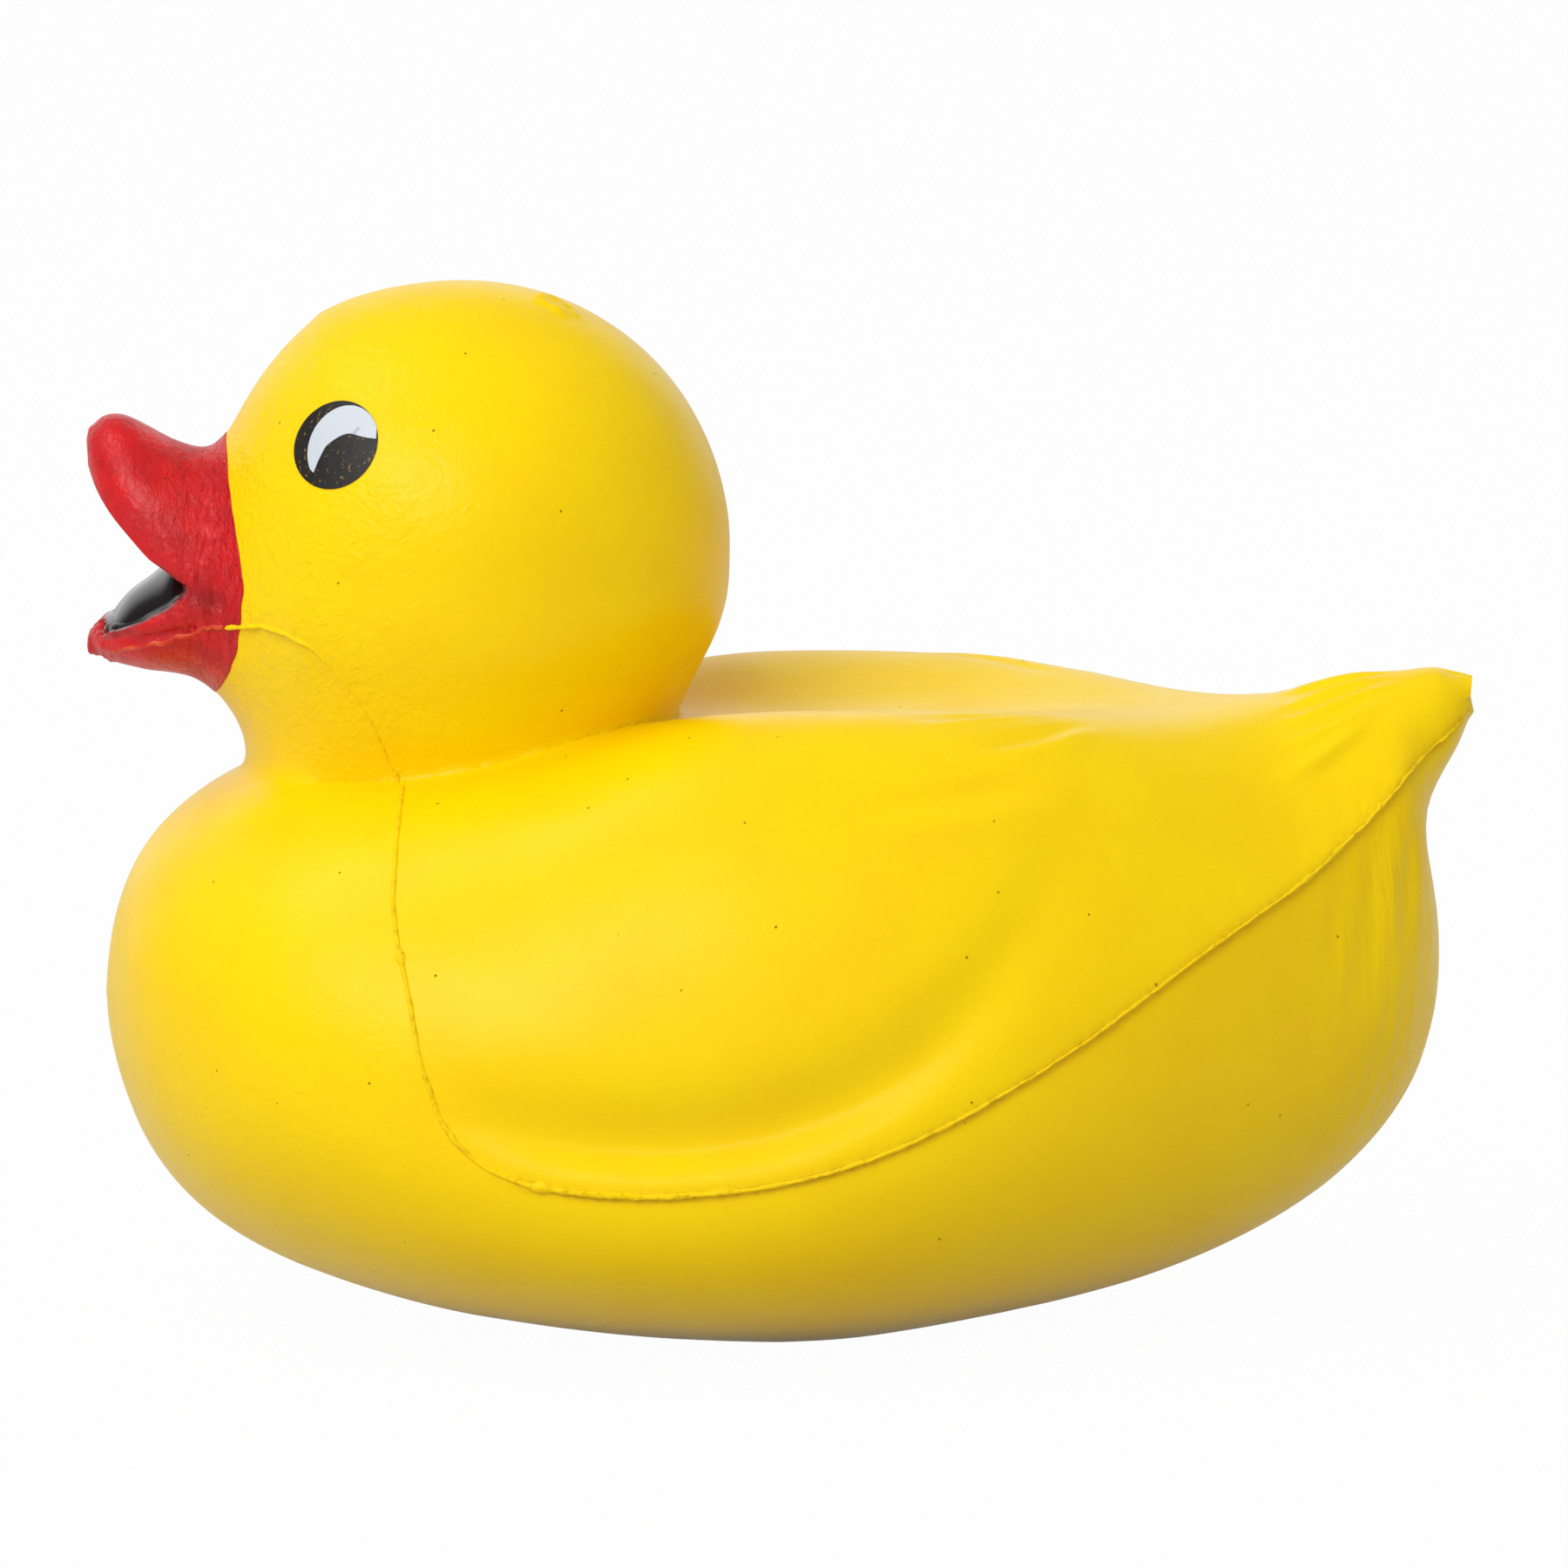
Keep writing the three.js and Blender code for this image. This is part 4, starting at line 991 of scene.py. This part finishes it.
# the joint line of the lower bill, raised under the paint, which is worn thin over it
JAW_LINE = [(-43.31, 3.85, 43.91), (-41.62, 6.02, 44.52), (-39.38, 7.29, 45.22),
            (-37.12, 8.00, 45.79), (-36.0, 8.3, 46.02)]


def jaw_size(share, p):
    """Half width and height of the bill's joint line, the same along its length but for a wander."""
    return 0.2, 0.12 + 0.05 * noise.noise(Vector(p) * 2)


strips = [bead("bill_joint", np.array(JAW_LINE) * [1, side, 1], jaw_size) for side in (-1, 1)]
pick_only(*strips)
bpy.ops.object.join()
bpy.ops.object.shade_smooth_by_angle(angle=math.radians(60))
joint_line = bpy.context.object
joint_line.name = "bill_joint"
thin_paint = bpy.data.materials.new("thin red enamel on the joint")
thin_paint.use_nodes = True
tree = thin_paint.node_tree
paint = tree.nodes["Principled BSDF"]
mm = in_millimetres(tree)
worn = add(tree, "ShaderNodeTexNoise", {"Vector": mm, "Scale": 1.2, "Detail": 3})
worn = add(tree, "ShaderNodeMapRange", {"Value": worn.outputs[0], "From Min": 0.4, "From Max": 0.65})
colour = add(tree, "ShaderNodeMix", {
    0: worn.outputs[0], 6: tint("#CF2018"), 7: tint("#E2561A"),
}, data_type="RGBA")
tree.links.new(colour.outputs[2], paint.inputs["Base Color"])
paint.inputs["Roughness"].default_value = 0.35
joint_line.data.materials.append(thin_paint)
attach(joint_line, "root")

# Eyes
# Pad printed in two inks, black and then white, alike on both sides. Their outlines are given in
# pixels of the camera's square picture, which is PICTURE_WIDTH millimetres wide at the duck.
PICTURE = 1800
PICTURE_WIDTH = 101.25
PIXEL = PICTURE_WIDTH / PICTURE
MIDDLE = PICTURE / 2
RAY_START = 0.2  # metres in front of the duck, from which the print is laid on it
EYE = (389.84, 514.02)
EYE_HALF = (52.8, 45.4)  # half its length and width: the disc is 5.9 by 5.1 mm
EYE_TILT = 54.5
WHITE = (398.2, 516.2)
WHITE_HALF = (48.5, 38.0)
WHITE_TILT = 64.9
WHITE_FROM, WHITE_TO = 143, -44
# the inner edge of the white, from its left tip to its right one
WHITE_INNER = [(365, 545.7), (370.5, 532), (374.7, 523.4), (379.4, 515.4), (387.4, 509),
               (393.8, 505), (404.2, 501.4), (414.5, 503.4), (425.7, 506.2), (436.1, 507.4)]
INK_THICKNESS = 0.06
BLACK_LIFT, WHITE_LIFT = 0.03, 0.07


def print_on(name, grid, lift, side):
    """A thin ink film: rows of points on the picture plane, laid on the skin along the camera's look."""
    right, up = Vector((1, 0, 0)), Vector((0, math.sin(RISE), math.cos(RISE)))
    points = []
    for row in grid:
        for u, v in row:
            across = right * (u - MIDDLE) * PIXEL * MM
            start = aim + across + up * (MIDDLE - v) * PIXEL * MM - look * RAY_START
            hit, normal, _, _ = skin_tree.ray_cast(start, look)
            p = hit + normal * lift * MM
            points.append((p.x, p.y * (-side), p.z))
    count, wide = len(grid), len(grid[0])
    corners = [i * wide + j for i in range(count - 1) for j in range(wide - 1)]
    made = new_object(name, points, [(k, k + wide, k + wide + 1, k + 1) for k in corners])
    pick_only(made)
    bpy.ops.object.mode_set(mode="EDIT")
    bpy.ops.mesh.select_all(action="SELECT")
    bpy.ops.mesh.remove_doubles(threshold=0.002 * MM)
    bpy.ops.object.mode_set(mode="OBJECT")
    thicken(made, INK_THICKNESS)
    face_outwards(made)
    bpy.ops.object.shade_smooth_by_angle(angle=math.radians(40))
    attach(made, "root")
    return made


def ellipse(centre, half, angle, turn):
    """Points of a tilted ellipse on the picture plane."""
    a = math.radians(angle)
    u, v = half[0] * np.cos(turn), half[1] * np.sin(turn)
    across = centre[0] + u * math.cos(a) - v * math.sin(a)
    down = centre[1] - u * math.sin(a) - v * math.cos(a)
    return np.stack([across, down], -1)


# both inks are matt over the skin's peel, with specks where the foam shows through or the pad lifted
INKS = (
    ("black pad ink", "#1C1816", "#8C7026", 3.4, 0.62, 0.7, 0.5),
    ("white pad ink", "#CDD6E2", "#9BA0A8", 1.1, 0.68, 0.8, 0.45),
)
inks = []
for name, ground, fleck, scale, low, high, roughness in INKS:
    ink = bpy.data.materials.new(name)
    ink.use_nodes = True
    tree = ink.node_tree
    print_skin = tree.nodes["Principled BSDF"]
    mm = in_millimetres(tree)
    thin = add(tree, "ShaderNodeTexNoise", {"Vector": mm, "Scale": scale, "Detail": 2})
    thin = add(tree, "ShaderNodeMapRange", {
        "Value": thin.outputs[0], "From Min": low, "From Max": high, "To Max": 0.8,
    })
    colour = add(tree, "ShaderNodeMix", {
        0: thin.outputs[0], 6: tint(ground), 7: tint(fleck),
    }, data_type="RGBA")
    peel = add(tree, "ShaderNodeTexNoise", {"Vector": mm, "Scale": 1.4, "Detail": 2})
    bump = add(tree, "ShaderNodeBump", {"Height": peel.outputs[0], "Distance": 0.03 * MM})
    tree.links.new(colour.outputs[2], print_skin.inputs["Base Color"])
    tree.links.new(bump.outputs[0], print_skin.inputs["Normal"])
    print_skin.inputs["Roughness"].default_value = roughness
    inks.append(ink)
black_ink, white_ink = inks
around = np.linspace(0, 2 * math.pi, 97)
disc = [ellipse(EYE, np.multiply(EYE_HALF, s), EYE_TILT, around) for s in np.linspace(0, 1, 15)]
t = np.linspace(0, len(WHITE_INNER) - 1, 60)
inner = np.stack([spline(c)(t) for c in np.transpose(WHITE_INNER)], 1)
turn = np.linspace(math.radians(WHITE_FROM), math.radians(WHITE_TO), 60)
outer = ellipse(WHITE, WHITE_HALF, WHITE_TILT, turn)
crescent = [outer * (1 - s) + even(inner, np.linspace(0, 1, 60)) * s for s in np.linspace(0, 1, 13)]
for side, word in ((-1, "left"), (1, "right")):
    black = print_on("eye_black_" + word, disc, BLACK_LIFT, side)
    black.data.materials.append(black_ink)
    white = print_on("eye_white_" + word, crescent, WHITE_LIFT, side)
    white.data.materials.append(white_ink)

# nothing reaches past the casting's measured size, and at the bill's tip the foam stays below its paint
FOAM_LOW, PAINT_LOW, HIGH = (-44.88, -31.74, 0), (-44.98, -31.74, 0.005), (44.79, 31.74, 67.41)
for obj in (moulding, bill, joint_line, *flashes):
    co = np.clip(places(obj), FOAM_LOW if obj == moulding else PAINT_LOW, HIGH)
    obj.data.vertices.foreach_set("co", (co * MM).ravel())
    obj.data.update()
